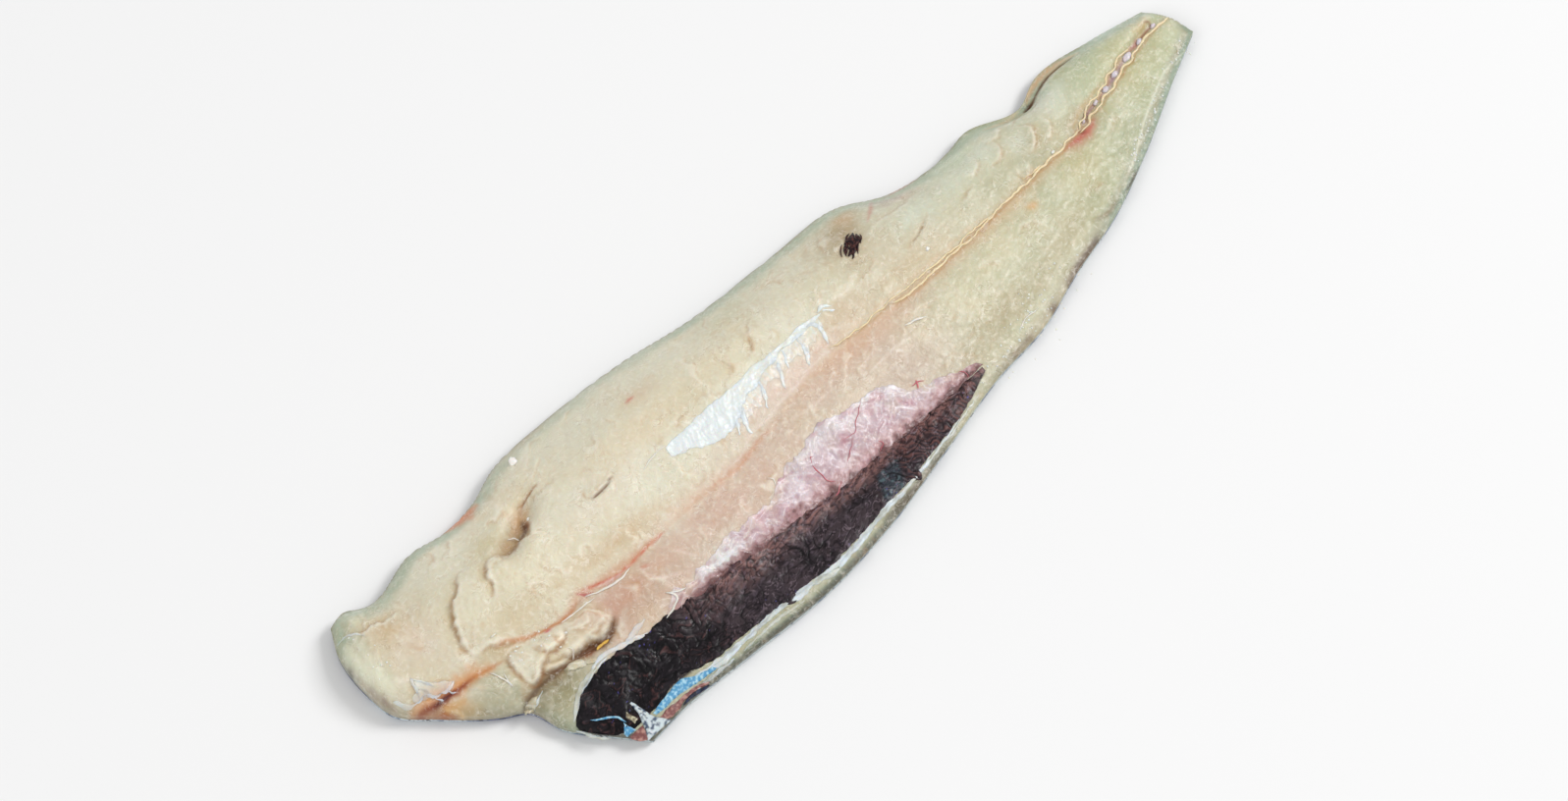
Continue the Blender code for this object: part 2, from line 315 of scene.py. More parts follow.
def underside_at(inset):
    """Height of the skin's upper face: flat, and curled up near the outline."""
    return SKIN_THICKNESS + EDGE_LIFT * (1 - np.clip(inset / EDGE_CURL, 0, 1)) ** 2


def loft():
    """Height of the cut side from the named sections, before rounding and relief."""
    stations = np.array(SECTIONS, float)
    x = X.ravel()
    heights = np.array([smooth(stations[:, 0], column, x) for column in stations[:, 1:].T])
    order = np.argsort(ACROSS)
    return smooth(np.array(ACROSS)[order], heights[order], SHARE.ravel()).reshape(X.shape)


def torn(offset, window):
    """Distances from a torn edge, made ragged."""
    return offset + 0.7 * noise(SPOTS[window], 2.4, 5, 3)


def oval(x, y, length, width, turn):
    """The square of how far out each spot of the chart is in a turned oval: 1 on its outline."""
    a, b = turned(X - x, Y - y, -turn)
    return (a / length) ** 2 + (b / width) ** 2


def between_ends(curve, spots):
    """0 beyond both ends of a curve and 1 halfway, by how far along its chord a spot is."""
    start, chord = np.array(curve[0]), np.subtract(curve[-1], curve[0])
    return np.sin(np.pi * np.clip(((spots - start) @ chord) / (chord @ chord), 0, 1))


def lifted(edge, rise, run_out):
    """The window round a flake and its height: a step up on the left of its edge that runs out."""
    window, distance, _, side = near(edge, 2.6 * run_out)
    body = np.zeros_like(X)
    body[window] = fade(distance, run_out) * between_ends(edge, SPOTS[window]) ** 0.7
    body = blurred(body, 0.12 * run_out)[window]
    return window, rise * ramp(torn(side * distance, window), -0.35, 0.35) * body


def groove(curve, depth, width, reach_out):
    """The window round a curve, how far along it each spot is, and the depth of a soft groove."""
    window, distance, reach, _ = near(curve, reach_out)
    return window, reach, depth * fade(distance, width)


def main_relief():
    """The folds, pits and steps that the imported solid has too."""
    height = np.zeros_like(X)
    window, _, deep = groove(MIDLINE, depth=1.6, width=3.5, reach_out=14)
    height[window] -= (1 - 0.8 * ramp(X[window], -105, -80)) * deep
    window, _, deep = groove(BONE_TROUGH, depth=1.2, width=2.0, reach_out=8)
    height[window] -= deep
    window, reach, deep = groove(FLAP_FOLD, depth=5.0, width=4.5, reach_out=18)
    height[window] -= (1 - 0.5 * reach) * deep
    window, reach, deep = groove(GAPE, depth=6.5, width=4.0, reach_out=16)
    height[window] -= np.sin(np.pi * reach) * deep
    window, distance, reach, side = near(LEDGE, 12)
    height[window] -= 3.6 * np.sin(np.pi * reach) / (1 + np.exp(-side * distance / 1.2))
    for flake in FLAKES:
        window, raised = lifted(*flake)
        height[window] += raised
    return height


# Fine steps, each a free edge with its flake on the left: edge, rise, run-out.
FINE_FLAKES = (
    (((-172, 34.6), (-176.6, 34.6), (-181.7, 36.6), (-186.5, 37.5), (-191, 42)), 1.0, 6),
    (((-166, 3), (-162, 3), (-158.5, 1.2), (-155.5, -0.6), (-151, -3)), 1.4, 5),
    (((-190.8, 39), (-191.8, 32.7), (-193.2, 27), (-194.6, 22), (-195.4, 17), (-194.6, 11.5)),
      0.35, 5),
    (((-119, 29), (-120.6, 25.3), (-124.9, 21.8), (-126.9, 24), (-129.6, 22), (-133.5, 22),
      (-137.4, 24)), 1.2, 5),
    (((-108, 34.7), (-113.4, 34), (-117.4, 33.6), (-120, 31)), 0.9, 5),
    (((-103, 31.5), (-108, 30.6), (-112.5, 31.4), (-116, 29.6)), 0.4, 4),
    (((-87, 18.4), (-93.2, 17.2), (-97.5, 16.8), (-102, 16.4)), 0.5, 3),
    (((-123.5, -18), (-126, -13.5), (-128.8, -10.2), (-135, -10.2), (-137.4, -7.5)), 0.8, 5),
    (((-156, -2.6), (-158.6, -5), (-159.4, -8), (-159.2, -11.5), (-158.2, -15)), 1.1, 5),
    (((-159.2, -13.4), (-157.4, -15.6), (-154.2, -14.9), (-152, -13.7), (-149.6, -13.3),
      (-148, -11)), 1.2, 3.5),
    (((-151, -6.4), (-149.2, -9.8), (-146.3, -12.6), (-142.9, -12.9), (-140, -12), (-138.6, -9.4)),
      1.2, 3.5),
    (((-153.4, -14.4), (-150.8, -15.7), (-147.7, -17.1), (-144.7, -17.8), (-141.6, -16.8)), 1.0, 3),
    (((-144.6, -15.4), (-141.8, -17.6), (-138.7, -18.2), (-135.4, -18.4), (-133.2, -19.2),
      (-131, -20.4), (-128.6, -19.8), (-125.7, -19), (-123, -17.6)), 1.1, 4),
    (((-138, -11.6), (-136, -13.4), (-133.6, -14.4), (-130.2, -13.6), (-128, -11.4)), 0.6, 3),
    (((-176.5, 1.6), (-180, 3.2), (-182.5, 2.8), (-184.6, 3.4), (-188, 5.6), (-192, 6.8)), 1.3, 6),
    (((-186.6, 12.6), (-187.6, 9), (-189, 6)), 0.6, 5),
    (((-178.4, -8.6), (-180, -5), (-183.6, -0.8), (-187, 1.6), (-190.5, 3.6)), -0.7, 5),
    (((-10, 31), (-12.9, 29), (-18.1, 23.2), (-20.9, 19.2), (-25, 16.8)), 0.4, 9),
    (((-30.5, 24), (-31.5, 18.9), (-34.9, 16)), 0.4, 7),
    (((-43.1, 18.9), (-46.8, 17.2), (-49.5, 18.2)), 0.35, 5),
    (((-65.5, 16.1), (-68.2, 15.2), (-72.1, 14.5)), 0.35, 4),
    (((67, 18.4), (61.3, 15.7), (56.9, 14.2), (53.7, 13.4), (49, 11.2)), 0.45, 3.5),
    (((38.3, 16.4), (34.7, 15.7), (31.5, 14.8), (26.6, 11.8)), 0.35, 5),
    (((87.1, 15.3), (83.6, 14.4), (76.8, 12.5)), 0.4, 5),
    (((74, 30), (65, 27.8), (58.3, 27.2), (50.8, 28), (43.4, 27.6)), 0.3, 6),
    (((110, 12.2), (112.9, 11.1), (119, 15.2), (120.8, 19), (117, 24)), 0.75, 5),
    (((101.6, 9), (103.3, 5.7), (105.8, 5.4), (109.5, 8.4)), 0.6, 4),
    (((96.6, 16.5), (100.9, 16.3), (105, 19.1), (106.7, 23.7)), 0.6, 5),
    (((103, 25.6), (108, 24.4), (112, 26.4), (114, 29)), 0.5, 4),
    (((86, 19.6), (90, 18.4), (94, 20), (96, 23.4)), 0.5, 4),
    (((118, 10.6), (124, 12), (127, 16), (126.6, 20)), 0.45, 4),
    (((84, -8.4), (90, -8), (94, -10.6), (95, -14)), 0.35, 4),
    (((62, -9), (68, -10), (71, -13.6)), 0.35, 4),
    (((140, -1), (146, 1), (149, 4)), 0.3, 4),
    (((125, -14), (122.7, -14.2), (118.9, -14.7)), 0.4, 4),
)
# Slits between the flakes of muscle: line, depth, width.
SLITS = (
    (((-101, 16.2), (-97.5, 16), (-94.3, 16.1), (-89, 17.5)), 1.6, 0.45),
    (((-119, 32), (-115, 34.2), (-108, 35)), 0.6, 0.5),
    (((52.4, 12.6), (57, 13.9), (63, 16.2)), 0.6, 0.45),
    (((-30.6, 21), (-31.4, 18.2), (-33.4, 17.6)), 0.5, 0.5),
    (((-18.3, 24.4), (-19.6, 21), (-21.8, 18.4)), 0.6, 0.5),
    (((-47.6, 17.4), (-44.5, 17), (-42, 18.2)), 0.4, 0.45),
    (((-61, 15.4), (-57.5, 17.3), (-53.6, 17.4)), 0.5, 0.5),
    (((127.6, 28.2), (130.6, 28.7), (134, 29.4)), 2.2, 1.0),
    (((128, 28.6), (133, 29), (138, 30.8), (145, 32.6), (158, 31.6)), 1.2, 0.6),
    (((-144, -18.2), (-138.6, -19.1), (-133.6, -20.2), (-130.6, -21.3), (-127, -20.5),
      (-122.6, -18.6)), 1.7, 0.9),
    (((109, -21.5), (117, -22.6), (125, -21.6)), 0.7, 0.8),
)
# Soft lumps: x, y, half length, half width, turn in degrees, height.
LUMPS = (
    (-155, -7.5, 5.0, 4.2, 10, 1.0),
    (-146, -10, 4.5, 3.0, -15, 0.5),
    (-170, -8, 8.0, 5.5, -35, 1.2),
    (-184, -1.5, 3.5, 1.6, -45, 0.8),
    (-144, -20.8, 4.0, 2.4, 0, 1.3),
    (-163, -19.6, 3.6, 2.0, 10, 2.0),
    (-186, 46, 7.0, 5.5, 20, 1.4),
    (-178, 20, 10, 9, 60, -0.7),
    (-127, 16, 8, 3.5, 8, 0.5),
    (106, 14, 9, 6, 20, 0.4),
    (133, 21, 9, 6, 20, 0.9),
)


def fine_relief():
    """Small steps, slits, lumps and the texture of the muscle, mostly under 1 mm."""
    height = np.zeros_like(X)
    for flake in FINE_FLAKES:
        window, raised = lifted(*flake)
        height[window] += raised
    for line, depth, width in SLITS:
        window, reach, deep = groove(line, depth, width, 4 * width + 1)
        height[window] -= np.sin(np.pi * reach) ** 0.7 * deep
    for x, y, length, width, turn, rise in LUMPS:
        height += rise * np.clip(1 - oval(x, y, length, width, turn), 0, 1) ** 0.8
    return height + texture()


# The muscle's blocks meet along lines that slant back from the midline, one to each backbone joint.
BLOCK_LENGTH, BLOCK_SLANT = 10.0, 0.85
BLOCKS = (X - BLOCK_SLANT * np.abs(Y - MIDDLE_Y) + 2.5 * noise(SPOTS, 22, 31)) / BLOCK_LENGTH
SEAMS = np.abs((BLOCKS % 1) - 0.5) * 2


def wrinkled():
    """1 on the crests of fine winding wrinkles of the muscle, lower between them."""
    return 1 - np.abs(noise(bent(SPOTS, 7, 41, 3) * (1.0, 0.8), 2.2, 43, 2))


def lined():
    """1 under the lining, 0 outside its edges."""
    ring = np.array(LINING_INNER + LINING_OUTER[::-1] + LINING_INNER[:1])
    window, distance, _, _ = near(ring, 6, 160)
    mask = np.zeros_like(X)
    mask[window] = inside(SPOTS[window], ring) * ramp(distance, 0.2, 1.2)
    return mask


LINED = lined()
WRINKLES = wrinkled()
WRINKLED_AREA = 0.3 + 0.7 * ramp(noise(SPOTS, 26, 44) + 0.5 * ramp(X, -60, -20), -0.3, 0.6)
WRINKLED_AREA *= 1 - LINED


def terraces():
    """How far each spot lies on from the foot of a ragged little step to the foot of the next."""
    slanted = bent(SPOTS, 7, 47, 3, 2) @ np.array([[1.0, 0.0], [-0.5, 0.6]])
    return (1.7 * noise(slanted, 15, 49)) % 1


TERRACES = terraces()
TERRACED = ramp(noise(SPOTS, 12, 50), -0.1, 0.5) * (1 - LINED) * ramp(INSET, 2, 8)
TERRACED *= 1 - 0.8 * ramp(X, 20, 60)


def texture():
    """Swells a few millimetres across, fine winding wrinkles, ragged little steps that rise fast and
    fall off slowly, and faint dips where blocks meet."""
    return (
        0.50 * TERRACED * np.minimum(TERRACES / 0.14, (1 - TERRACES) / 0.86)
        + 0.30 * noise(SPOTS, 24, 1, 2)
        + 0.20 * noise(SPOTS, 7, 2, 2)
        + 0.20 * (WRINKLES**3 - 0.4) * WRINKLED_AREA
        - 0.16 * ramp(SEAMS, 0.86, 1.0) * ramp(noise(SPOTS, 20, 45), -0.1, 0.5)
    )


def height_chart():
    """The cut side's height: loft and relief, rounded down to the rim at the outline."""
    rim = underside_at(INSET) + GAP + RIM_HEIGHT
    full = np.maximum(loft() + main_relief() + fine_relief(), rim)
    inward = np.clip(INSET / ROUND_OVER, 0, 1)
    return rim + (full - rim) * np.sqrt(1 - (1 - inward) ** 2)


HEIGHT = height_chart()
HOLLOW = blurred(HEIGHT, 1.1) - HEIGHT  # positive in creases, negative on crests
WIDE_HOLLOW = blurred(HEIGHT, 3.5) - HEIGHT


# ---- Colours of the cut side -------------------------------------------------------------------


def linear(colour):
    """An sRGB colour from 0 to 255 as linear light from 0 to 1."""
    c = np.asarray(colour, float) / 255
    return np.where(c <= 0.04045, c / 12.92, ((c + 0.055) / 1.055) ** 2.4)


CREAM, PALE, BUTTER = (225, 223, 201), (231, 232, 216), (220, 211, 180)
ROSE, BLUSH, PEACH = (210, 184, 168), (207, 190, 173), (218, 178, 148)
LOIN_REAR, TAIL_BACK = (203, 204, 178), (186, 197, 166)
BELLY_REAR, TAIL_BELLY, SEA = (195, 197, 167), (184, 192, 158), (168, 187, 160)
RIM, HONEY = (178, 180, 152), (196, 158, 108)

# Soft patches of tone: x, y, half length, half width, turn, colour, strength.
PATCHES = (
    (-182, 22, 16, 26, 0, (211, 201, 172), 0.8),
    (-176, 22, 9, 12, 0, (228, 214, 196), 0.7),
    (-186, 47, 8, 6, 10, (214, 217, 188), 0.8),
    (-167, 30, 9, 14, 20, (218, 212, 184), 0.4),
    (-180, -11, 4, 3, 0, (206, 194, 140), 0.8),
    (-158, -9, 10, 5, 10, (198, 204, 184), 0.4),
    (-102, 16, 20, 7, 0, (226, 226, 216), 0.5),
    (138, -18, 10, 3, 15, (196, 190, 176), 0.5),
    (-146, -13, 12, 5, -10, (214, 198, 158), 0.6),
    (-140, 10, 26, 16, 10, (226, 221, 194), 0.6),
    (-114, -17, 14, 7, 3, (196, 148, 126), 0.85),
    (-95, -17, 14, 6, 5, (212, 184, 160), 0.6),
    (-20, 3, 26, 5, 2, (226, 202, 190), 0.8),
    (10, -4, 34, 4, 1, (218, 184, 160), 0.6),
    (40, 20, 14, 8, 0, (198, 188, 160), 0.6),
    (55, 10, 30, 7, 0, (207, 193, 166), 0.5),
    (113, 12, 12, 8, 10, (176, 173, 140), 0.9),
    (90, 22, 24, 10, 6, (216, 224, 204), 0.8),
    (142, -3, 11, 6, 15, (174, 182, 150), 0.7),
    (112, 17.5, 5, 3, 20, (224, 228, 212), 0.6),
    (99, 24, 5, 2.5, 0, (222, 228, 212), 0.5),
    (134, 23, 9, 6, 20, (222, 228, 212), 0.8),
    (-161, -31, 6, 10, 0, (148, 162, 132), 0.7),
    # Painted shade in the flap fold's gap.
    (-132, -20.5, 6, 1.4, -3, (112, 72, 44), 0.6),
    (-100, 12, 22, 7, 4, (232, 214, 182), 0.3),
    (-70, 24, 24, 7, -4, (230, 212, 178), 0.5),
    (-38, 26, 20, 8, 0, (228, 218, 188), 0.5),
    (-118, 40, 20, 7, -8, (228, 216, 186), 0.5),
    (-66, -17, 30, 5, 0, (212, 184, 168), 0.7),
    (0, 5, 12, 3, 0, (214, 188, 170), 0.7),
    (-74, -6, 26, 3, 0, (226, 196, 178), 0.6),
    (0, -18, 24, 5, 0, (222, 206, 188), 0.5),
    (60, -10, 24, 6, 4, (216, 212, 180), 0.5),
    (20, 24, 20, 8, 0, (214, 208, 180), 0.5),
    (60, -27, 26, 6, 8, (180, 172, 140), 0.8),
    (100, -20, 22, 6, 15, (188, 178, 146), 0.6),
    (-152, -25, 15, 8, -8, (150, 147, 112), 1.0),
    (-168, -11, 12, 7, -30, (170, 172, 144), 0.95),
    (-186, -3, 9, 3.2, -45, (214, 150, 76), 0.95),
    # Partly the pit's brownish inside, partly painted shade in it.
    (-130, 24, 5, 2.4, 25, (122, 88, 60), 0.6),
    (36, 27, 8, 5, 45, (182, 156, 120), 0.6),
    (-152, -10, 9, 5, 10, (224, 222, 204), 0.6),
    (-180, -8, 4, 2.4, -40, (224, 180, 108), 0.8),
    (166, 15, 22, 9, 18, (192, 184, 134), 0.7),
    (150, 31, 8, 3, 5, (182, 174, 122), 0.7),
    (152, -9, 17, 5, 22, (156, 162, 126), 0.85),
    (123, -4, 13, 8, 15, (204, 194, 152), 0.6),
    (120, -19, 12, 5, 12, (176, 178, 142), 0.8),
    (92, 10, 10, 6, 0, (180, 180, 148), 0.7),
    (76, 10, 9, 5, 0, (196, 194, 166), 0.5),
    (38, 35, 13, 7, 25, (174, 158, 124), 0.9),
    (14, 10, 12, 5, 0, (204, 184, 154), 0.8),
    (15, -20, 12, 4, -10, (186, 168, 150), 0.8),
    (-104, 0, 26, 4, -4, (208, 182, 144), 0.7),
    (-149, 3, 13, 7, -10, (206, 190, 156), 0.7),
    (-135, 30, 8, 5, 0, (202, 192, 152), 0.7),
    (-180, 31, 6, 5, 0, (206, 182, 142), 0.7),
    (135, 10, 8, 4, 20, (182, 164, 132), 0.6),
    (61, 20, 8, 5, 10, (222, 232, 218), 0.6),
    (91, 31, 9, 4, 10, (222, 226, 200), 0.6),
    (-121, 30, 5, 3, 40, (212, 160, 100), 0.7),
    (-35, 0, 34, 3, 4, (214, 198, 182), 0.5),
    (45, 7, 16, 4, 0, (206, 186, 148), 0.5),
    (-92, -21, 36, 3, 0, (194, 176, 156), 0.6),
    # Painted shade in the flap fold.
    (-152, -21, 10, 3, 0, (124, 114, 84), 0.6),
    (-14, 40, 12, 6, 0, (194, 196, 166), 0.5),
    (-50, 20, 12, 5, 0, (212, 204, 176), 0.5),
    (-95, 57, 12, 3, 5, (222, 176, 132), 0.8),
    # Partly the pit's brownish inside, partly painted shade in it.
    (-131, 25, 6, 3.2, 25, (176, 146, 108), 0.85),
    (45, 40, 5, 5, 60, (216, 180, 140), 0.5),
    (62, 36, 9, 3.5, -35, (190, 160, 154), 0.8),
    (-60, 36, 9, 4, 0, (218, 186, 150), 0.4),
    (134, 4, 8, 2.4, 12, (200, 116, 100), 0.6),
    (186, 23.4, 5, 2.2, 20, (196, 162, 100), 0.8),
    (96.6, -4.2, 2.4, 1.6, 0, (220, 168, 100), 0.7),
    (159.4, -5.4, 1.2, 0.9, 40, (214, 158, 96), 0.9),
    (182, 26.2, 0.9, 0.7, 0, (216, 160, 90), 0.9),
)
# Coloured lines: line, half width, colour, strength.
STROKES = (
    (((-194, 7), (-184, 2.6), (-172, -0.4), (-163, -3)), 3.0, (220, 148, 78), 0.85),
    (((-142, -7), (-130, -6.4), (-118, -6), (-106, -7), (-92, -7.2)), 1.3, (184, 120, 88), 0.5),
    (((-122.8, 24), (-121, 26), (-120, 28.6)), 0.7, (208, 132, 82), 0.8),
    (((-188, -4.4), (-185, -1.4), (-181, -3), (-177, -4.6)), 1.2, (214, 162, 92), 0.7),
    (((-189, -1), (-185, -3), (-182, -7)), 0.4, (238, 206, 150), 0.8),
    (((-185, -0.6), (-181.6, -4.4), (-180, -9)), 0.4, (238, 210, 160), 0.8),
    (((-191, 2.4), (-187, 0), (-183.4, -3.6), (-181, -7)), 0.6, (170, 90, 36), 0.8),
    (((-187.6, -3.6), (-184.6, -6), (-182, -9.6)), 0.6, (186, 112, 48), 0.8),
    (((-194, 5.6), (-189.3, 3.8), (-185.7, 1.8), (-182, 0.6), (-177, -0.2), (-170, -0.6)),
      1.3, (130, 26, 12), 0.95),
    (((-187, 2.4), (-184, 1.2), (-181, 0.6), (-178, 0.2)), 0.6, (70, 8, 10), 0.95),
    (((-196.6, 34), (-197.2, 26), (-197, 18), (-195.8, 10)), 1.0, (140, 116, 108), 0.85),
    (((-197, 40), (-197.4, 33), (-197.6, 27)), 0.7, (48, 50, 62), 0.9),
    # The cream band along the head end: partly its own pale colour, partly painted light that
    # brightens it.
    (((-192.6, 40), (-194.2, 28), (-194, 20), (-192.6, 13)), 3.4, (240, 241, 216), 0.95),
    (((-139.6, 50.4), (-132, 48.8), (-124, 48.6)), 3.0, (222, 134, 80), 0.95),
    (((-140, 49.6), (-134, 47.4), (-127, 47.6)), 0.5, (190, 128, 84), 0.6),
    # Flap edges by the fold: the pale lines are painted highlights on their lips, the brown ones
    # painted shade below them.
    (((-159.3, -3.7), (-156.1, -2.3), (-153.1, -3.5), (-150.6, -5.6)), 0.45, (242, 236, 214), 0.9),
    (((-158.9, -7.6), (-158.8, -11), (-157.5, -15), (-151.4, -14)), 0.45, (242, 236, 214), 0.8),
    (((-137.1, -7.5), (-135.1, -10.4), (-128.8, -10.1), (-126.1, -13.5), (-123.5, -18)),
      0.45, (242, 232, 208), 0.9),
    (((-135, -11.6), (-129, -11.2), (-127.2, -14), (-124.8, -18)), 0.5, (196, 146, 104), 0.6),
    (((-150, -6), (-147, -10), (-148.5, -13)), 0.4, (240, 234, 210), 0.8),
    (((-151, -7), (-148.2, -10.6), (-149.6, -13)), 0.4, (186, 150, 104), 0.6),
    (((-143, -8), (-140.5, -12), (-141.5, -16)), 0.4, (240, 234, 210), 0.8),
    (((-144, -9), (-141.7, -12.4), (-142.6, -16)), 0.4, (186, 150, 104), 0.6),
    (((-156, -5), (-153, -9), (-154, -12)), 0.35, (238, 234, 214), 0.7),
    (((131, 30.6), (137, 33.6), (145, 35), (155, 33.8), (161, 31.6)), 1.5, (216, 182, 142), 0.9),
    (((110, 33.4), (119, 31), (128, 30.6)), 1.2, (214, 196, 164), 0.7),
    (((-30, -53.4), (-20, -52.6), (-8, -51.2)), 1.8, (92, 84, 64), 0.95),
    # Orange painted shade along the foot of the loin's edge, in the next three strokes.
    (((-173.7, 0.1), (-169.6, -0.8), (-165.1, -2.4), (-159.3, -3.7)), 0.8, (196, 132, 80), 0.8),
    (((-160, 0.9), (-156.2, 0.1), (-152.9, -1.6), (-149.5, -3.4), (-145.5, -4.6), (-142.1, -6.2)),
      0.7, (200, 130, 76), 0.8),
    (((-142.1, -6.3), (-137.6, -6.9), (-131.6, -6.9), (-127.4, -4.4)), 0.9, (186, 118, 66), 0.85),
    (((-141, -6.6), (-131, -6), (-127, -4), (-118, -6.3), (-105, -7.6), (-90, -7.4)),
      1.8, PEACH, 0.6),
    (((-127, -4), (-122, -4.9), (-116, -6.9), (-110, -8.1)), 0.55, (196, 84, 50), 0.95),
    (((-119, -6.4), (-113, -7.8), (-107, -8.2), (-98, -7.9), (-90, -8)), 0.35, (206, 62, 52), 0.85),
    (((-121, -5.9), (-115, -7.7), (-108, -9)), 0.3, (246, 234, 228), 0.9),
    (((-42, 2), (-32, 5), (-22, 8), (-10, 10.6), (0, 12)), 2.4, (230, 212, 202), 0.5),
    (((-110, -8.1), (-104, -7.9), (-99, -7.6), (-94, -7.4), (-88, -8)), 0.5, (214, 140, 104), 0.6),
    (((-126.9, -3.4), (-125.4, -5), (-124, -6.2), (-121.6, -7.2)), 0.55, (176, 40, 66), 0.9),
    (((-120, -7.4), (-116, -8.4), (-110, -9)), 0.5, (196, 100, 92), 0.6),
    (((-144, -6.3), (-141, -7)), 0.7, (206, 70, 96), 0.9),
    (((-105, -11.6), (-102, -13.4)), 0.9, (206, 116, 92), 0.5),
    (((-90, -7.6), (-76, -7.2), (-62, -8), (-52, -7), (-41, -5.4), (-30, -3.6)),
      1.2, (216, 170, 138), 0.4),
    (((-66, -7.4), (-52.5, -8.2), (-41.4, -5.6), (-33, -6.4)), 0.6, (214, 156, 122), 0.5),
    (((-30, -3.6), (-10, -0.6), (10, -0.4), (30, -0.6), (45, -1)), 2.0, (218, 178, 146), 0.5),
    (((30, 0), (55, -0.4), (80, 0.6), (105, 2.6), (134, 5.4)), 3.2, (214, 180, 140), 0.5),
    (((2, 4), (20, 3.4), (50, 3.4), (80, 4.4)), 1.0, (214, 184, 146), 0.45),
    (((-61, -6.1), (-51, -5.8), (-42.6, -2.1), (-34.6, -1.9), (-25.9, -0.1), (-17.3, 0.5),
      (-8.8, 2.2), (2, 2.6)), 0.45, (240, 226, 216), 0.8),
    (((-39, -5.2), (-33, -6.2), (-24, -8.6), (-13, -8.9), (-4, -9.2)), 0.45, (234, 222, 208), 0.6),
    (((1, -10.6), (5, -12.5), (12, -12), (22, -12), (30, -13.6)), 0.45, (238, 230, 218), 0.6),
    (((45, -8.5), (51.8, -10.3), (58, -10.8)), 0.4, (234, 228, 208), 0.5),
    (((56, -15), (60, -17.4), (64, -20.8)), 0.4, (232, 226, 206), 0.5),
    (((76, -8.6), (81, -9), (84, -11.4)), 0.5, (232, 228, 210), 0.5),
    (((101, -16.4), (93, -18.2), (83, -20.2)), 0.5, (230, 226, 204), 0.5),
    (((-104.4, -9.6), (-105, -14.6), (-102, -19.6), (-97, -21.8), (-92, -25)), 0.5, (232, 214, 202),
      0.7),
    (((-94, -11), (-91, -17), (-85.5, -23), (-82, -25)), 0.5, (232, 214, 200), 0.6),
    (((-82, -11.5), (-80.4, -18), (-76, -22)), 0.45, (230, 214, 200), 0.5),
    (((-58, -15), (-52.5, -19), (-48, -20.4)), 0.5, (234, 222, 208), 0.6),
    (((8, -12), (10, -17), (16, -22)), 0.4, (230, 218, 202), 0.4),
    (((28, -13), (33, -18), (36, -24)), 0.4, (230, 220, 202), 0.4),
    (((42, -12), (48, -18), (50, -24)), 0.4, (230, 222, 204), 0.4),
    (((-53, 37.5), (-43.7, 40.6), (-35.9, 39.4), (-29.8, 38.6)), 0.4, (230, 224, 204), 0.5),
    (((18.6, 16), (26.3, 16.8), (30.3, 18.3)), 0.4, (232, 226, 206), 0.6),
    # Painted shade in the pit, partly over its brownish inside, darkest at its deep end.
    (((-137, 22.9), (-133, 22.4), (-129, 22.8), (-126, 24.6)), 1.4, (150, 116, 82), 0.7),
    (((-127.4, 24.2), (-123.9, 24.6), (-121.6, 26.8), (-120.4, 30.6)), 1.5, (82, 40, 26), 1.0),
    # Dark lines of painted shade in slits, with painted highlights on their pale lips.
    (((-119.7, 31), (-117.2, 33.4), (-113.4, 34.3), (-107.7, 35.2)), 0.45, (176, 118, 62), 0.8),
    (((-101, 16.4), (-97.5, 16), (-94.3, 16.1), (-89, 17.5)), 0.4, (112, 70, 34), 0.95),
    (((-100, 17.4), (-96, 17.1), (-92, 17.5), (-87, 19)), 0.4, (240, 236, 220), 0.9),
    (((-100.6, 16.4), (-101.6, 18.4), (-99.4, 20.6)), 0.3, (186, 146, 96), 0.7),
    (((52.4, 12.6), (57, 13.8), (63, 16.2)), 0.35, (168, 136, 88), 0.8),
    (((52, 13.4), (57, 14.8), (62, 17)), 0.4, (236, 230, 208), 0.6),
    # Painted shade along the edges of the flakes at the tail.
    (((115.7, 23.7), (119.7, 26.2), (128.7, 28.4)), 0.45, (172, 140, 96), 0.7),
    (((117, 24), (120.8, 19), (119, 15.2), (112.9, 11.1), (110, 12.2)), 0.35, (180, 152, 110),
      0.55),
    (((106.7, 23.7), (105, 19.1), (100.9, 16.3), (96.6, 16.5)), 0.35, (180, 152, 110), 0.5),
    (((109.5, 8.4), (105.8, 5.4), (103.3, 5.7), (101.6, 9)), 0.35, (182, 154, 112), 0.5),
    (((141.2, -16.8), (135.5, -18.8), (128.3, -21)), 0.6, (70, 50, 38), 0.85),
    (((194, 5.8), (183.3, 5.2), (175.7, 3.7), (169, 0.8), (161.8, -2.5), (154.4, -6.1),
      (141.6, -13.6), (129, -19)), 0.4, (232, 234, 216), 0.75),
    # Painted shade in the fold's gap, black at its left end, and under the flap edges beside it.
    (((-167, -18.9), (-158, -17.2), (-150, -17.9), (-143, -19.2)), 1.7, (98, 72, 44), 0.95),
    (((-144, -18.4), (-139, -19.5), (-134.4, -20.6), (-130.6, -21.5), (-127, -20.7),
      (-122.4, -18.6)), 1.5, (100, 56, 32), 0.95),
    (((-140, -20.4), (-137, -21), (-134.4, -21.8)), 1.0, (146, 94, 66), 0.8),
    (((-144.6, -16.6), (-141.8, -18.2), (-138.7, -18.9), (-135.4, -19.1), (-133.2, -20),
      (-131, -21.1), (-128.6, -20.6), (-125.7, -19.8), (-122.6, -17.8)), 0.7, (72, 36, 20), 1.0),
    (((-154, -15.2), (-150.8, -16.5), (-147.7, -17.9), (-144.7, -18.5), (-142, -17.8)),
      0.6, (104, 66, 38), 0.95),
    (((-159.4, -14.6), (-157.6, -16.4), (-154.2, -15.7), (-151.8, -14.4), (-149.2, -13.9),
      (-147.4, -11.6)), 0.5, (150, 104, 62), 0.85),
    (((-149.6, -10.6), (-146.5, -13.4), (-142.9, -13.7), (-139.6, -12.6), (-138, -10)),
      0.5, (150, 98, 58), 0.85),
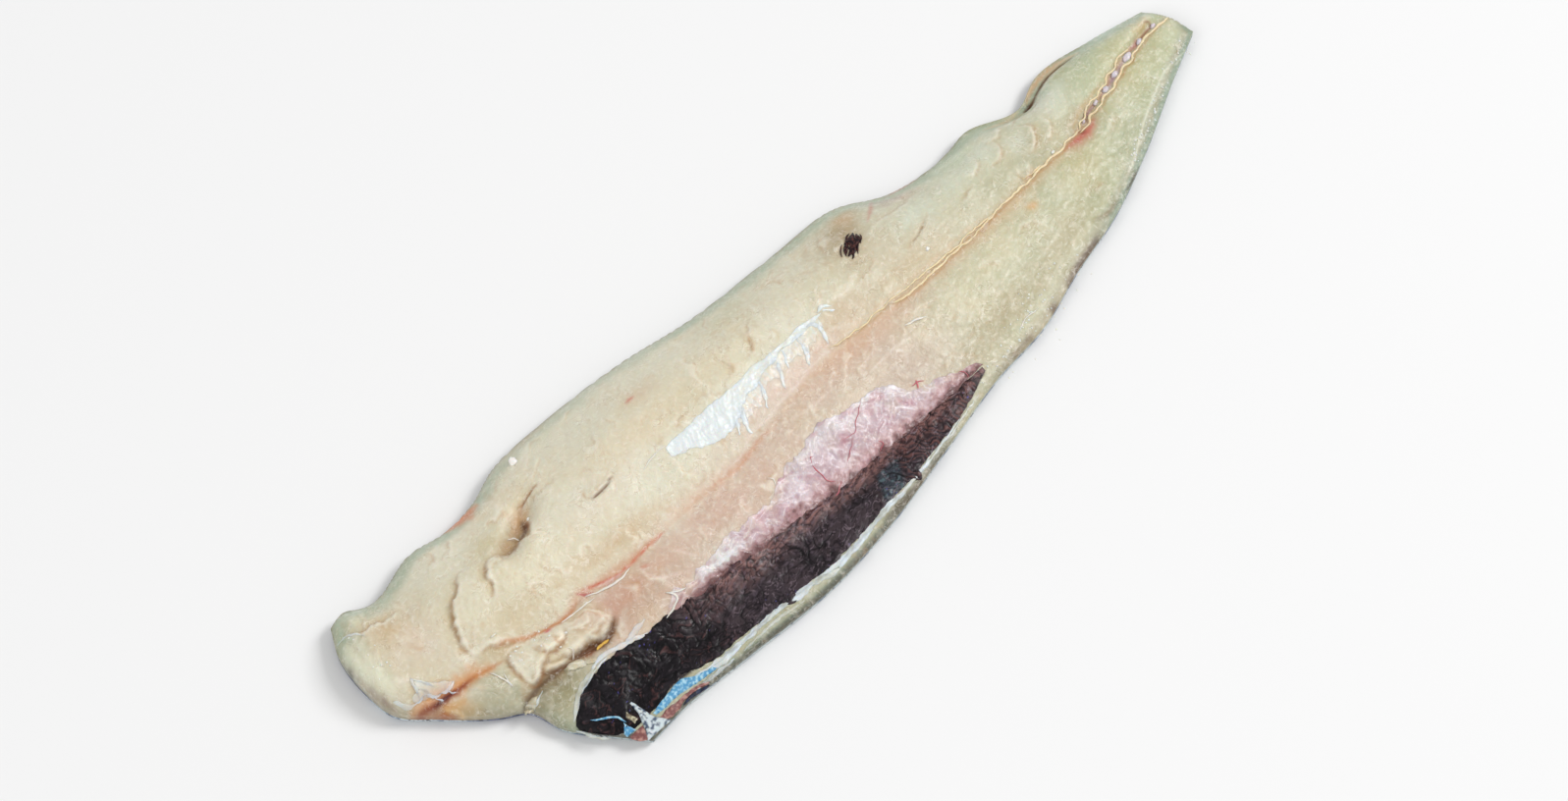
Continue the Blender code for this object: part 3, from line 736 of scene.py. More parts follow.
    (((-159.9, -5), (-160.4, -8), (-160.2, -11.5), (-159.4, -14)), 0.4, (170, 122, 76), 0.7),
    # Painted highlights on the flap edges' pale lips.
    (((-149.6, -12.2), (-146.3, -12), (-142.9, -12.3), (-140.2, -11.4), (-139, -9.4)),
      0.4, (250, 244, 224), 0.9),
    (((-158.2, -14.2), (-157.2, -15), (-154.4, -14.2), (-152.2, -13), (-150, -12.6)),
      0.4, (250, 244, 224), 0.9),
    (((-152.6, -14), (-150.4, -14.9), (-147.5, -16.3), (-144.6, -16.9)), 0.4, (244, 232, 204), 0.8),
    (((-143.4, -15.6), (-140.6, -17.2), (-137.4, -17.5), (-134.4, -17.9)), 0.35, (244, 230, 204),
      0.7),
    # Orange painted shade along the foot of the loin's edge, and painted shade beside a flap's edge.
    (((-151.3, -3.8), (-147.3, -4.6), (-142, -5.8), (-137.1, -6.8), (-133.9, -7.2), (-131.3, -6.8)),
      0.5, (196, 120, 56), 0.8),
    (((-142.4, -9.4), (-143.4, -12), (-140.6, -13.6)), 0.5, (196, 150, 104), 0.7),
    (((122, 4.4), (128, 4.3), (133, 4.6), (137, 4.8), (142, 7)), 1.5, (196, 92, 84), 0.75),
    (((132.6, 5.6), (135.6, 5.4)), 0.8, (128, 22, 44), 0.9),
    (((136, 7.8), (138, 8.8), (141, 9.9), (144, 10.7), (148.5, 11.3)), 0.75, (112, 56, 92), 0.95),
    (((148.5, 11.4), (154, 12.7), (160, 14.4), (166, 16.2), (172, 18.2)), 1.3, (198, 172, 180),
      0.9),
    (((157, 13.3), (160, 14.3), (164, 15.4)), 0.5, (160, 110, 130), 0.7),
    (((172.6, 18.6), (177.4, 18.9), (182.8, 19.5)), 1.1, (176, 112, 112), 0.85),
    (((180, 19.5), (184.7, 20.2), (187.9, 20.9), (188.2, 22.1), (186, 23.4)), 0.6, (134, 66, 44),
      0.85),
    # Orange painted shade beside the bone trough.
    (((131.6, 8.2), (137.6, 11.4), (145.2, 13.4), (156, 15.8)), 0.9, (190, 158, 106), 0.6),
    # Painted shade in the gap under the ledge, black where it is deepest.
    (((128.8, 28.6), (132.6, 29.1), (137.8, 30.9), (143, 32.5), (150, 32.7), (158, 31.6)),
      0.6, (84, 56, 34), 0.95),
    (((127.8, 28.4), (131.4, 28.8), (134, 29.6)), 1.1, (14, 9, 8), 0.98),
    (((60.2, 40.6), (56, 36.6), (53.1, 34.2), (47.4, 30.3)), 0.7, (196, 116, 104), 0.6),
    (((64, 38), (70, 37.8), (80, 36)), 0.8, (200, 130, 126), 0.5),
    (((-66, 36), (-61, 36.4)), 0.7, (206, 84, 74), 0.7),
    # Tan painted shade beside slits.
    (((-10, 21), (-9.3, 18.6), (-12, 15.8)), 0.6, (214, 186, 140), 0.5),
    (((-30, 21.4), (-30.8, 18.2), (-32.8, 17)), 0.5, (212, 174, 118), 0.6),
    (((-17.8, 24.6), (-19, 21), (-21.4, 18)), 0.5, (212, 174, 118), 0.6),
    (((-61, 15), (-57.5, 16.8), (-53.6, 17)), 0.5, (214, 180, 126), 0.6),
    (((12.9, 15.5), (19.1, 14.5), (27, 16.3), (29, 17.2)), 0.4, (238, 232, 214), 0.7),
    (((164, 34.6), (174, 33.2), (184, 31.6), (193, 29)), 2.6, (206, 226, 214), 0.8),
    (((82, 32), (91, 31), (101, 29.8)), 2.4, (214, 224, 198), 0.8),
)


# Tan ridges of connective tissue on the midline and beside the cut bones: line, half width.
RIDGES = (
    (((0.6, 2.8), (8.3, 2.3), (14.1, 1.6), (20.4, 1.7), (27.5, 1.7), (34.6, 1.7), (41.7, 1.7)),
      0.36),
    (((38, 1.9), (48.9, 1.8), (56.2, 1.9), (63.5, 1.9), (70, 2.4), (76.4, 2.8), (84, 3.1)), 0.4),
    (((30, 0.6), (39.5, -0.3), (47, -0.1), (53.3, 0.2), (59.9, 0.8), (66, 0.9), (71.3, 0.5)), 0.55),
    (((70, 1), (76.1, 1.5), (83.5, 2.5), (88.8, 3), (94.2, 3.5), (101.7, 3.6), (106, 3.4)), 0.5),
    (((101.8, 5.3), (106.3, 5.2), (111.5, 4.7)), 0.3),
    (((104, 3.6), (108, 4.5), (113.5, 4.6), (117.6, 5.3), (122.3, 4.9), (125, 5.9), (129, 6.4),
      (134.6, 6.5)), 0.6),
    (((133, 6.3), (138.9, 6.9), (142, 8.6), (147.7, 8.9), (150, 10.3), (156.8, 11.2), (159, 12.7),
      (163.7, 13.3), (166, 14.9), (170.6, 14.8), (173.6, 16.7), (178.7, 17.3), (182.7, 18.3),
      (190.9, 19.3), (196.8, 19.8)), 0.55),
    (((134, 6.8), (135.7, 8.8), (139.2, 9.9), (141.6, 11.2), (147.1, 12.5), (150.5, 12.9),
      (152.4, 14), (157.2, 14.8), (158.7, 16.4), (163.7, 17.2), (166.2, 18.5), (171.4, 19.4),
      (175, 19.8)), 0.5),
)


def plain(colour, *shape):
    """One colour for every spot of a chart or every vertex of a piece."""
    return np.ones((*shape, 1)) * linear(colour)


class Paint:
    """Colours of a chart's spots or a piece's vertices, laid over each other in linear light."""

    def __init__(self, ground):
        self.coat = ground

    def lay(self, colour, amount, window=np.s_[:]):
        """Covers the colours with another, by an amount from 0 to 1 at each spot."""
        amount = np.clip(amount, 0, 1)[..., None]
        self.coat[window] += amount * (linear(colour) - self.coat[window])


def cut_side_colour():
    """Cream muscle with painted warm shade in its creases, rosy on the belly side, sea green at
    the thin edges.
    """
    paint = Paint(plain(CREAM, *X.shape))
    lay = paint.lay
    drift = noise(SPOTS, 34, 51, 3)
    lay(LOIN_REAR, ramp(X, 0, 70))
    lay(TAIL_BACK, ramp(X, 90, 160))
    belly_side = ramp(-SHARE, -0.02, 0.10)
    lay(ROSE, 0.9 * belly_side * ramp(X, -150, -120))
    lay(BLUSH, belly_side * ramp(X, -70, -20))
    lay(BELLY_REAR, belly_side * ramp(X, 10, 60))
    lay(TAIL_BELLY, belly_side * ramp(X, 90, 130))
    lay(BUTTER, 0.45 * ramp(drift, 0.0, 0.9))
    lay(PALE, 0.4 * ramp(-drift, 0.0, 0.9))
    for x, y, length, width, turn, colour, strength in PATCHES:
        ragged = 1 + 0.5 * noise(SPOTS, 0.5 * width + 2, 52, 2)
        lay(colour, strength * np.exp(-oval(x, y, length, width, turn) * ragged))
    # Thin at the outline, so the dark skin shows through.
    back = ramp(SHARE, 0.1, 0.5)
    depth = 6.5 + 2.5 * noise(SPOTS, 16, 53, 2)
    fair = 1 - 0.35 * ramp(X, -125, -100) * ramp(-X, 25, 50)
    lay(SEA, 0.85 * fair * back * ramp(-INSET, -1.5 * depth, -0.4 * depth))
    belly = ramp(-SHARE, 0.3, 0.8)
    step = INSET + 0.8 * noise(SPOTS, 9, 58, 2)
    lay((176, 184, 158), 0.85 * belly * ramp(-step, -5.2, -3.6) * ramp(X, 85, 120))
    lay((170, 160, 134), 0.7 * belly * ramp(-INSET, -5, -1.0) * ramp(X, 20, 50))
    brown = ramp(-INSET, -2.8, -0.6) * ramp(noise(SPOTS, 11, 59, 2), -0.6, 0.2)
    lay((88, 64, 48), 0.85 * belly * brown * ramp(X, 5, 30) * ramp(-X, -125, -105))
    lining_gap = ramp(-Y, 30, 40) * ramp(-INSET, -9.5, -6.5)
    lay(RIM, 0.95 * belly * lining_gap * ramp(-X, -60, -30))
    ends = np.maximum(ramp(X, 100, 125), ramp(-X, 0, 30))
    lay((134, 160, 142), 0.8 * belly * ramp(-INSET, -3.0, -0.6) * ends)
    lay((150, 148, 124), 0.6 * ramp(-INSET, -2.2, 0) * (1 - belly))
    lay((72, 70, 60), 0.85 * belly * ramp(-INSET, -2.6, -0.5) * ramp(-Y, 34, 44) * ramp(-X, -20, 0))
    # Fine flesh tones: pale threads where blocks meet, and a fine mottle.
    threads = ramp(SEAMS, 0.93, 1.0) * ramp(noise(SPOTS, 14, 54, 2), 0.0, 0.6)
    lay((236, 228, 214), 0.65 * threads * ramp(-SHARE, -0.1, 0.1))
    fore = 1 - 0.7 * ramp(X, 30, 90)
    lay(PALE, 0.22 * fore * ramp(noise(SPOTS, 3.5, 55, 2), 0.1, 0.8))
    lay(HONEY, 0.08 * ramp(noise(SPOTS, 2.2, 56, 2), 0.15, 0.9))
    # Painted shade at the foot of each little step, and a painted highlight on its lip.
    lay((200, 156, 106), 0.40 * TERRACED * fade(TERRACES - 0.03, 0.05))
    lay((246, 243, 228), 0.50 * TERRACED * fade(TERRACES - 0.17, 0.06))
    # Painted highlights on the wrinkles' crests, and painted shade in their troughs towards the head.
    lay((242, 234, 214), 0.30 * fore * WRINKLED_AREA * ramp(WRINKLES, 0.88, 0.99))
    troughs = ramp(-WRINKLES, -0.62, -0.35)
    lay((206, 166, 122), 0.20 * WRINKLED_AREA * troughs * ramp(-X, -90, -40))
    # Pale streaks of painted wet glints on the rear belly side, with faint darker streaks between
    # them.
    glint_streaks = noise(SPOTS @ np.array([[0.34, -0.35], [0.1, 1.25]]), 1.5, 60, 2)
    rear = ramp(X, -10, 40) * (0.35 + 0.65 * ramp(-SHARE, 0.0, 0.2))
    lay((244, 240, 222), 0.45 * rear * ramp(glint_streaks, 0.45, 0.75))
    lay((190, 168, 120), 0.08 * rear * ramp(-glint_streaks, 0.3, 0.7))
    # Painted highlights on crests, and painted warm, deep shade in creases.
    body = ramp(INSET, 1.5, 4)
    lay((190, 138, 88), 0.7 * body * ramp(HOLLOW, 0.12, 0.8))
    lay((198, 160, 116), 0.35 * body * ramp(WIDE_HOLLOW, 0.3, 1.6))
    lay((236, 231, 212), 0.45 * body * ramp(-HOLLOW, 0.04, 0.4))
    # Painted shade on the low side of each flake's edge, a darker painted shadow line at its foot,
    # and a painted highlight on its lip.
    for edge, rise, run_out in FLAKES + FINE_FLAKES:
        window, distance, _, side = near(edge, 8)
        offset = torn(side * distance, window)
        here = between_ends(edge, SPOTS[window]) ** 0.6 * min(1, 0.1 + 0.75 * rise)
        lay((204, 186, 144), 0.5 * here * ramp(offset, -5, -1) * (offset < 0), window)
        lay((176, 126, 74), 0.65 * here * fade(offset + 0.4, 0.45), window)
        lay((242, 240, 222), 0.9 * here * fade(offset - 0.6, 0.6), window)
    for line, width, colour, strength in STROKES:
        window, distance, reach, _ = near(line, 4 * width)
        ragged = 1 + 0.45 * noise(SPOTS[window], 1.4 + width, 57, 2)
        taper = np.sin(np.pi * reach)
        amount = strength * fade(distance * ragged, width * (0.4 + 0.6 * taper)) * taper**0.35
        lay(colour, amount, window)
    # Painted shadow below each ridge.
    for line, width in RIDGES:
        window, distance, reach, side = near(line, 3)
        below = np.sin(np.pi * reach) ** 0.3 * fade(-side * distance - 1.2 * width - 0.2, 0.5)
        lay((184, 138, 88), 0.65 * below, window)
    # Painted shade in the slits, darker for deeper ones.
    for line, depth, width in SLITS:
        window, distance, reach, _ = near(line, 4 * width + 1)
        deep = 0.6 * ramp(depth, 0.0, 1.2) * np.sin(np.pi * reach) ** 0.6
        lay((120, 78, 42), deep * fade(distance, 0.9 * width), window)
    # Under the lining the muscle is dark too.
    lay((46, 34, 34), LINED)
    return paint.coat


COLOUR = cut_side_colour()

# ---- Making meshes -----------------------------------------------------------------------------


def on_flesh(points, lift):
    """Plan points as points in space, lifted off the cut side by that much."""
    return np.concatenate([points, (read(HEIGHT, points) + lift)[..., None]], -1)


def piece(name, verts, faces, material, slot, node=None, **fields):
    """A finished object from arrays: verts in millimetres, faces as index lists, and any fields,
    one value or colour for each vertex, stored under their names for the material to read."""
    mesh = bpy.data.meshes.new(name)
    mesh.from_pydata(np.asarray(verts) * MM, [], faces)
    for key, values in fields.items():
        if values.ndim == 2:
            values = np.column_stack([values, np.ones(len(values))])
            field = mesh.attributes.new(key, "FLOAT_COLOR", "POINT")
            field.data.foreach_set("color", values.ravel())
        else:
            mesh.attributes.new(key, "FLOAT", "POINT").data.foreach_set("value", values)
    bm = bmesh.new()
    bm.from_mesh(mesh)
    bmesh.ops.recalc_face_normals(bm, faces=bm.faces[:])
    bm.to_mesh(mesh)
    bm.free()
    mesh.shade_smooth()
    mesh.materials.append(material)
    obj = bpy.data.objects.new(name, mesh)
    bpy.context.scene.collection.objects.link(obj)
    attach(obj, "root")
    if node:
        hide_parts(node)
    return obj


def grid_faces(rows, columns, start=0, closed=False):
    """The quads of a grid of vertices stored row by row, joined round its columns if closed."""
    steps = columns if closed else columns - 1
    i, j = np.meshgrid(np.arange(rows - 1), np.arange(steps), indexing="ij")
    here, beside = i * columns + j, i * columns + (j + 1) % columns
    quads = np.stack([here, beside, beside + columns, here + columns], -1)
    return (quads.reshape(-1, 4) + start).tolist()


def wall_faces(ring, other):
    """The quads between two closed rings of as many vertices."""
    return np.stack([ring, np.roll(ring, -1), np.roll(other, -1), other], -1).tolist()


def tube_faces(rings, sides):
    """The faces of a tube of rings stored one after another, with a cap at each end."""
    caps = [list(range(sides)), list(range((rings - 1) * sides, rings * sides))]
    return grid_faces(rings, sides, closed=True) + caps


def border_of(rows, columns):
    """The vertices on the border of a grid stored row by row, in order round it."""
    index = np.arange(rows * columns).reshape(rows, columns)
    return np.concatenate([index[0, :-1], index[:-1, -1], index[-1, :0:-1], index[:0:-1, 0]])


def slab(top, bottom):
    """A closed body from two grids of points, one above the other: both faces and the rim between."""
    rows, columns = top.shape[:2]
    ring, under = border_of(rows, columns), rows * columns
    verts = np.concatenate([top.reshape(-1, 3), bottom.reshape(-1, 3)])
    faces = grid_faces(rows, columns) + grid_faces(rows, columns, under)
    return verts, faces + wall_faces(ring, ring + under)


def crowded(steps, first, last):
    """Shares from 0 to 1, closer together towards the ends: first and last say how much."""
    share = np.linspace(0, 1, 400)
    density = 1 + first * fade(share, 0.28) + last * fade(1 - share, 0.2)
    total = np.concatenate([[0], np.cumsum((density[1:] + density[:-1]) / 2)])
    return np.interp(np.linspace(0, total[-1], steps + 1), total, share)


# How far the closing rings of a patch are drawn in towards its middle, as shares of its size.
CLOSING_RINGS = (0.0, 0.01, 0.03, 0.06, 0.1)


def patch(steps_along, steps_across, height, back_height):
    """A closed body over the whole plan: a fine grid at one height, and on its other side rings of
    the same border drawn in towards the middle, with one flat face inside the last."""
    u, w = np.meshgrid(crowded(steps_along, 0.9, 0.3), crowded(steps_across, 0.4, 0.4))
    points = plan(u.ravel(), w.ravel()).reshape(u.shape + (2,))
    border = border_of(*u.shape)
    verts = [np.concatenate([points, height(points)[..., None]], -1).reshape(-1, 3)]
    faces = grid_faces(*u.shape)
    previous, start = border, u.size
    for draw in CLOSING_RINGS:
        inner = [(1 - 2 * draw) * (share.ravel()[border] - 0.5) + 0.5 for share in (u, w)]
        ring = plan(*inner)
        verts.append(np.column_stack([ring, back_height(ring)]))
        now = start + np.arange(len(border))
        faces += wall_faces(previous, now)
        previous, start = now, start + len(border)
    return np.concatenate(verts), faces + [previous.tolist()]


FILM_EDGE, FILM_SUNK = 0.08, 0.35  # how far a film's edge is above the flesh, and its back below


def film(lower, upper, columns, rows, thick, ragged=(0.3, 0.3), rise=None, seed=0, least=0.12):
    """A thin body that lies on the flesh between two edge curves, given from one end to the other.
    ragged says how far each edge strays, rise is extra height as a function of the plan points, and
    least is how low that may leave the film's face. Returns its vertices, faces, and the plan point
    of each vertex."""
    s, t = np.linspace(0, 1, columns), np.linspace(0, 1, rows)
    low, high = along(lower, s), along(upper, s)
    out = high - low
    out = out / np.maximum(np.linalg.norm(out, axis=1, keepdims=True), 1e-6)
    run = s * length_of(low)
    taper = np.minimum(1, np.minimum(s, 1 - s) * 14)
    low = low + out * (ragged[0] * taper * wavering(run, 3.1, seed))[:, None]
    high = high + out * (ragged[1] * taper * wavering(run, 3.1, seed + 1))[:, None]
    points = low + (high - low) * t[:, None, None]
    shares = np.stack(np.broadcast_arrays(s, t[:, None]), -1)
    body = np.minimum(1, 6 * np.minimum(shares, 1 - shares).min(-1)) ** 0.5
    lift = FILM_EDGE + thick * body
    if rise is not None:
        lift = np.maximum(lift + rise(points) * body, least)
    verts, faces = slab(on_flesh(points, lift), on_flesh(points, -FILM_SUNK))
    spots = np.concatenate([points.reshape(-1, 2)] * 2)
    return verts, faces, spots


def ribbon(line, width, thick, ragged, seed, stations=24, step=0.5, rows=7):
    """A film along a plan line, of that half width, which narrows to both ends."""
    line = along(line, np.linspace(0, 1, stations))
    forward = np.gradient(line, axis=0)
    forward /= np.linalg.norm(forward, axis=1, keepdims=True)
    side = np.stack([-forward[:, 1], forward[:, 0]], -1)
    taper = np.sin(np.pi * np.linspace(0.03, 0.97, stations))[:, None] ** 0.6
    low, high = line - side * width * taper, line + side * width * taper
    columns = int(max(8, length_of(line) / step))
    return film(low, high, columns, rows, thick, (ragged, ragged), seed=seed)[:2]


def veil(verts, tone, opacity):
    """The colour of a thin half-clear film: the chart's beneath it, covered by the film's own."""
    under = read(COLOUR, verts[:, :2])
    return under + np.broadcast_to(opacity, len(verts))[:, None] * (linear(tone) - under)


def joined(bodies):
    """Several (verts, faces) bodies as one pair of lists."""
    verts, faces, count = [], [], 0
    for body_verts, body_faces in bodies:
        verts.append(body_verts)
        faces += [[i + count for i in face] for face in body_faces]
        count += len(body_verts)
    return np.concatenate(verts), faces


def rings_of(values, sides):
    """Two grids, one row for each value: the value itself, and the angle round the ring."""
    return np.meshgrid(values, np.arange(sides) * 2 * np.pi / sides, indexing="ij")


def strand(path, width, height, sides=8, step=0.5, wobble=0.0, seed=0, ends=0.25):
    """A flattened tube along a path of points in space: its half width and half height shrink to
    nothing at the ends, and both waver."""
    length = length_of(path)
    share = np.linspace(0, 1, max(6, int(length / step)))
    centre = along(path, share)
    forward = np.gradient(centre, axis=0)
    forward /= np.linalg.norm(forward, axis=1, keepdims=True)
    side = np.cross(forward, (0, 0, 1.0))
    side /= np.maximum(np.linalg.norm(side, axis=1, keepdims=True), 1e-6)
    up = np.cross(side, forward)
    centre = centre + side * (wobble * wavering(share * length, 4, seed))[:, None]
    full = np.minimum(1, np.minimum(share, 1 - share) / ends + 0.04) ** 0.6
    full = full * (1 + 0.35 * wavering(share * length, 2.5, seed + 1))
    angle = np.arange(sides) * 2 * np.pi / sides
    ring = (
        centre[:, None]
        + (full * width)[:, None, None] * np.cos(angle)[:, None] * side[:, None]
        + (full * height)[:, None, None] * np.sin(angle)[:, None] * up[:, None]
    )
    return ring.reshape(-1, 3), tube_faces(len(share), sides)


def laid(line, lift, step=1.2):
    """A plan line as a path on the flesh, lifted by one height, or by one at each of its points."""
    line = np.asarray(line, float)
    run = run_along(line)
    share = np.linspace(0, 1, max(4, int(run[-1] / step)))
    lifts = np.interp(share * run[-1], run, np.broadcast_to(lift, len(line)))
    return on_flesh(along(line, share), lifts)


def lump(x, y, radii, turn, rough, seed, lift, rings=10, sides=16):
    """A rough ball squashed to three radii and turned about the vertical, its centre above the
    flesh by lift."""
    v, h = rings_of(np.linspace(0.06, np.pi - 0.06, rings), sides)
    ball = np.stack([np.sin(v) * np.cos(h), np.sin(v) * np.sin(h), np.cos(v)], -1)
    swell = 1 + rough * noise(ball[..., :2] * 3 + 5 * ball[..., 2:], 2.0, seed, 2)
    a, b, up = np.moveaxis(ball * swell[..., None] * radii, -1, 0)
    body = np.stack([*turned(a, b, turn), up], -1) + on_flesh(np.array([x, y]), lift)
    return body.reshape(-1, 3), tube_faces(rings, sides)


def petal(x, y, length, width, turn, lift, tip, seed, thick=0.7, rings=9, sides=40):
    """A torn flake lying on the flesh: a rough-edged disc, domed by lift and raised by tip towards
    its belly-side edge, its back sunk a little into the flesh at the middle."""
    share, angle = rings_of(np.linspace(0.04, 1, rings), sides)
    rough = 1 + 0.25 * noise(np.stack([np.cos(angle), np.sin(angle)], -1) * 2.2, 1.0, seed, 3)
    a, b = share * rough * np.cos(angle) * length, share * rough * np.sin(angle) * width
    points = np.stack(turned(a, b, turn), -1) + (x, y)
    rise = 0.15 + lift * (1 - share**2) ** 0.5 + tip * ramp(-np.sin(angle) * share, 0.0, 1.0)
    sunk = np.maximum(rise - thick, -0.4) * share - 0.4 * (1 - share)
    verts = np.concatenate([on_flesh(points, height).reshape(-1, 3) for height in (rise, sunk)])
    count = rings * sides
    last = count - sides + np.arange(sides)
    faces = [face for start in (0, count) for face in grid_faces(rings, sides, start, closed=True)]
    faces += wall_faces(last, last + count)
    return verts, faces + [list(range(sides)), list(range(count, count + sides))]


# ---- Materials ---------------------------------------------------------------------------------


def add(tree, kind, settings=None, **inputs):
    """A node with its settings, and its inputs set to values or linked from sockets."""
    node = tree.nodes.new(kind)
    for key, value in (settings or {}).items():
        setattr(node, key, value)
    for key, value in inputs.items():
        socket = node.inputs[int(key[1:])] if key[0] == "_" else node.inputs[key.replace("_", " ")]
        if isinstance(value, bpy.types.NodeSocket):
            tree.links.new(value, socket)
        else:
            socket.default_value = value
    return node


def swirls(tree, place, size, detail, **more):
    """A noise texture of that size in millimetres."""
    scale = 1 / (size * MM)
    return add(tree, "ShaderNodeTexNoise", Vector=place, Scale=scale, Detail=detail, **more)


def stretched(tree, value, low, high, kind="SMOOTHSTEP", **ends):
    """A value's range from low to high, stretched to 0 and 1 or to other ends."""
    settings = {"interpolation_type": kind}
    node = add(
        tree, "ShaderNodeMapRange", settings, Value=value, From_Min=low, From_Max=high, **ends
    )
    return node.outputs["Result"]


def speckled(tree, place, size, low, high, detail=3.0):
    """A socket from 0 to 1: noise of that size in millimetres, with its grey range stretched."""
    return stretched(tree, swirls(tree, place, size, detail).outputs["Fac"], low, high)


def computed(tree, operation, *terms, kind="ShaderNodeMath"):
    """The result of a maths node."""
    inputs = {f"_{i}": term for i, term in enumerate(terms)}
    return add(tree, kind, {"operation": operation}, **inputs).outputs[0]


def moved(tree, operation, *terms):
    """The result of a vector maths node."""
    return computed(tree, operation, *terms, kind="ShaderNodeVectorMath")


def mixed(tree, factor, a, b, blend="MIX"):
    """Two colours mixed by a factor."""
    settings = {"data_type": "RGBA", "blend_type": blend}
    return add(tree, "ShaderNodeMix", settings, _0=factor, _6=a, _7=b).outputs[2]


def rgba(colour):
    """An sRGB colour as a shader's colour."""
    return (*linear(colour), 1.0)


def new_material(name):
    """An empty material, with its node tree and its surface shader."""
    material = bpy.data.materials.new(name)
    material.use_nodes = True
    tree = material.node_tree
    return material, tree, tree.nodes["Principled BSDF"]


def settle(shader, **values):
    """Sets the shader's own sockets to uniform values."""
    for key, value in values.items():
        shader.inputs[key.replace("_", " ")].default_value = value


def moist_surface():
    """A group for everything moist: it takes a base colour, how strong its grain is and how deep its
    bumps are, and gives the colour with a fine mottle and thin winding wrinkles, with painted shade
    in their grooves and painted highlights beside them, a bumped normal, and a mask of wet spots."""
    group = bpy.data.node_groups.new("moist_surface", "ShaderNodeTree")
    sockets = (
        ("INPUT", "Color", "Color"), ("INPUT", "Grain", "Float"), ("INPUT", "Depth", "Float"),
        ("OUTPUT", "Color", "Color"), ("OUTPUT", "Normal", "Vector"), ("OUTPUT", "Wet", "Float"),
    )
    for way, name, kind in sockets:
        group.interface.new_socket(name, in_out=way, socket_type=f"NodeSocket{kind}")
    enter, leave = group.nodes.new("NodeGroupInput"), group.nodes.new("NodeGroupOutput")
    place = group.nodes.new("ShaderNodeTexCoord").outputs["Object"]
    stray = swirls(group, place, 5, 2.0).outputs["Color"]
    strayed = moved(group, "MULTIPLY_ADD", stray, (6 * MM, 6 * MM, 6 * MM), place)
    lengthwise = moved(group, "MULTIPLY", strayed, (0.6, 1.0, 1.0))
    fine = swirls(group, strayed, 1.3, 4.0, Roughness=0.6).outputs["Fac"]
    grit = swirls(group, place, 0.45, 2.0).outputs["Fac"]
    swells = swirls(group, lengthwise, 2.4, 1.5).outputs["Fac"]

    def lines(level, width):
        """1 where the swells are at one level, so along thin winding lines, and 0 away from them."""
        off = computed(group, "ABSOLUTE", computed(group, "SUBTRACT", swells, level))
        return stretched(group, off, 0.0, width, To_Min=1.0, To_Max=0.0)

    def times(a, b):
        """The product of two values."""
        return computed(group, "MULTIPLY", a, b)

    broken = speckled(group, place, 9.0, 0.48, 0.6, 2.0)
    # Painted shade along thin winding grooves, and painted highlights along lines beside them.
    dark_lines, pale_lines = times(lines(0.47, 0.02), broken), times(lines(0.52, 0.03), broken)
    relief = fine
    for layer, weight in ((grit, 0.25), (swells, 1.0), (dark_lines, -0.3)):
        relief = computed(group, "MULTIPLY_ADD", layer, weight, relief)
    depth, grain = enter.outputs["Depth"], enter.outputs["Grain"]
    bump = add(group, "ShaderNodeBump", Strength=depth, Distance=0.4 * MM, Height=relief)
    colour = enter.outputs["Color"]
    colour = mixed(group, times(grain, fine), colour, rgba((176, 132, 92)), "MULTIPLY")
    colour = mixed(group, times(grain, dark_lines), colour, rgba((186, 140, 92)), "MULTIPLY")
    colour = mixed(group, times(grain, pale_lines), colour, rgba((255, 250, 240)))
    pale = times(speckled(group, strayed, 1.6, 0.52, 0.75), grain)
    group.links.new(mixed(group, pale, colour, rgba((250, 246, 236))), leave.inputs["Color"])
    group.links.new(bump.outputs["Normal"], leave.inputs["Normal"])
    group.links.new(speckled(group, place, 4.0, 0.35, 0.7), leave.inputs["Wet"])
    return group


MOIST = moist_surface()
WET_CHANGE = 0.08  # how much smoother the wet spots are, and how much rougher the dry ones


def moist_material(name, grain, depth, roughness, coat, under=0.0, under_scale=2.5, level=0.5):
    """A wet surface whose base colour each vertex carries. under is how much light passes through it
    and under_scale how many millimetres deep, and level how strongly it mirrors."""
    material, tree, shader = new_material(name)
    tint = add(tree, "ShaderNodeAttribute", {"attribute_name": "tint"}).outputs["Color"]
    moist = add(tree, "ShaderNodeGroup", {"node_tree": MOIST}, Color=tint, Grain=grain, Depth=depth)
    tree.links.new(moist.outputs["Color"], shader.inputs["Base Color"])
    tree.links.new(moist.outputs["Normal"], shader.inputs["Normal"])
    tree.links.new(moist.outputs["Normal"], shader.inputs["Coat Normal"])
    dry, wet = roughness + WET_CHANGE, roughness - WET_CHANGE
    rough = stretched(tree, moist.outputs["Wet"], 0.0, 1.0, "LINEAR", To_Min=dry, To_Max=wet)
    tree.links.new(rough, shader.inputs["Roughness"])
    settle(shader, IOR=1.38, Specular_IOR_Level=level)
    settle(shader, Coat_Weight=coat, Coat_Roughness=0.14, Coat_IOR=1.33)
    settle(shader, Subsurface_Weight=under, Subsurface_Scale=under_scale * MM)
    settle(shader, Subsurface_Radius=(1.0, 0.6, 0.35))
    return material


FLESH = moist_material("raw_flesh", 0.25, 0.46, 0.40, coat=0.3, under=0.3)
MEMBRANE = moist_material("moist_membrane", 0.08, 0.35, 0.34, coat=0.45, under=0.3, under_scale=1.0)
GRISTLE = moist_material("gristle", 0.15, 0.3, 0.36, coat=0.4, under=0.35, under_scale=1.0)
DARK_FILM = moist_material("dark_lining", 0.0, 0.12, 0.30, coat=0.0, level=0.28)


# ---- Pieces ------------------------------------------------------------------------------------


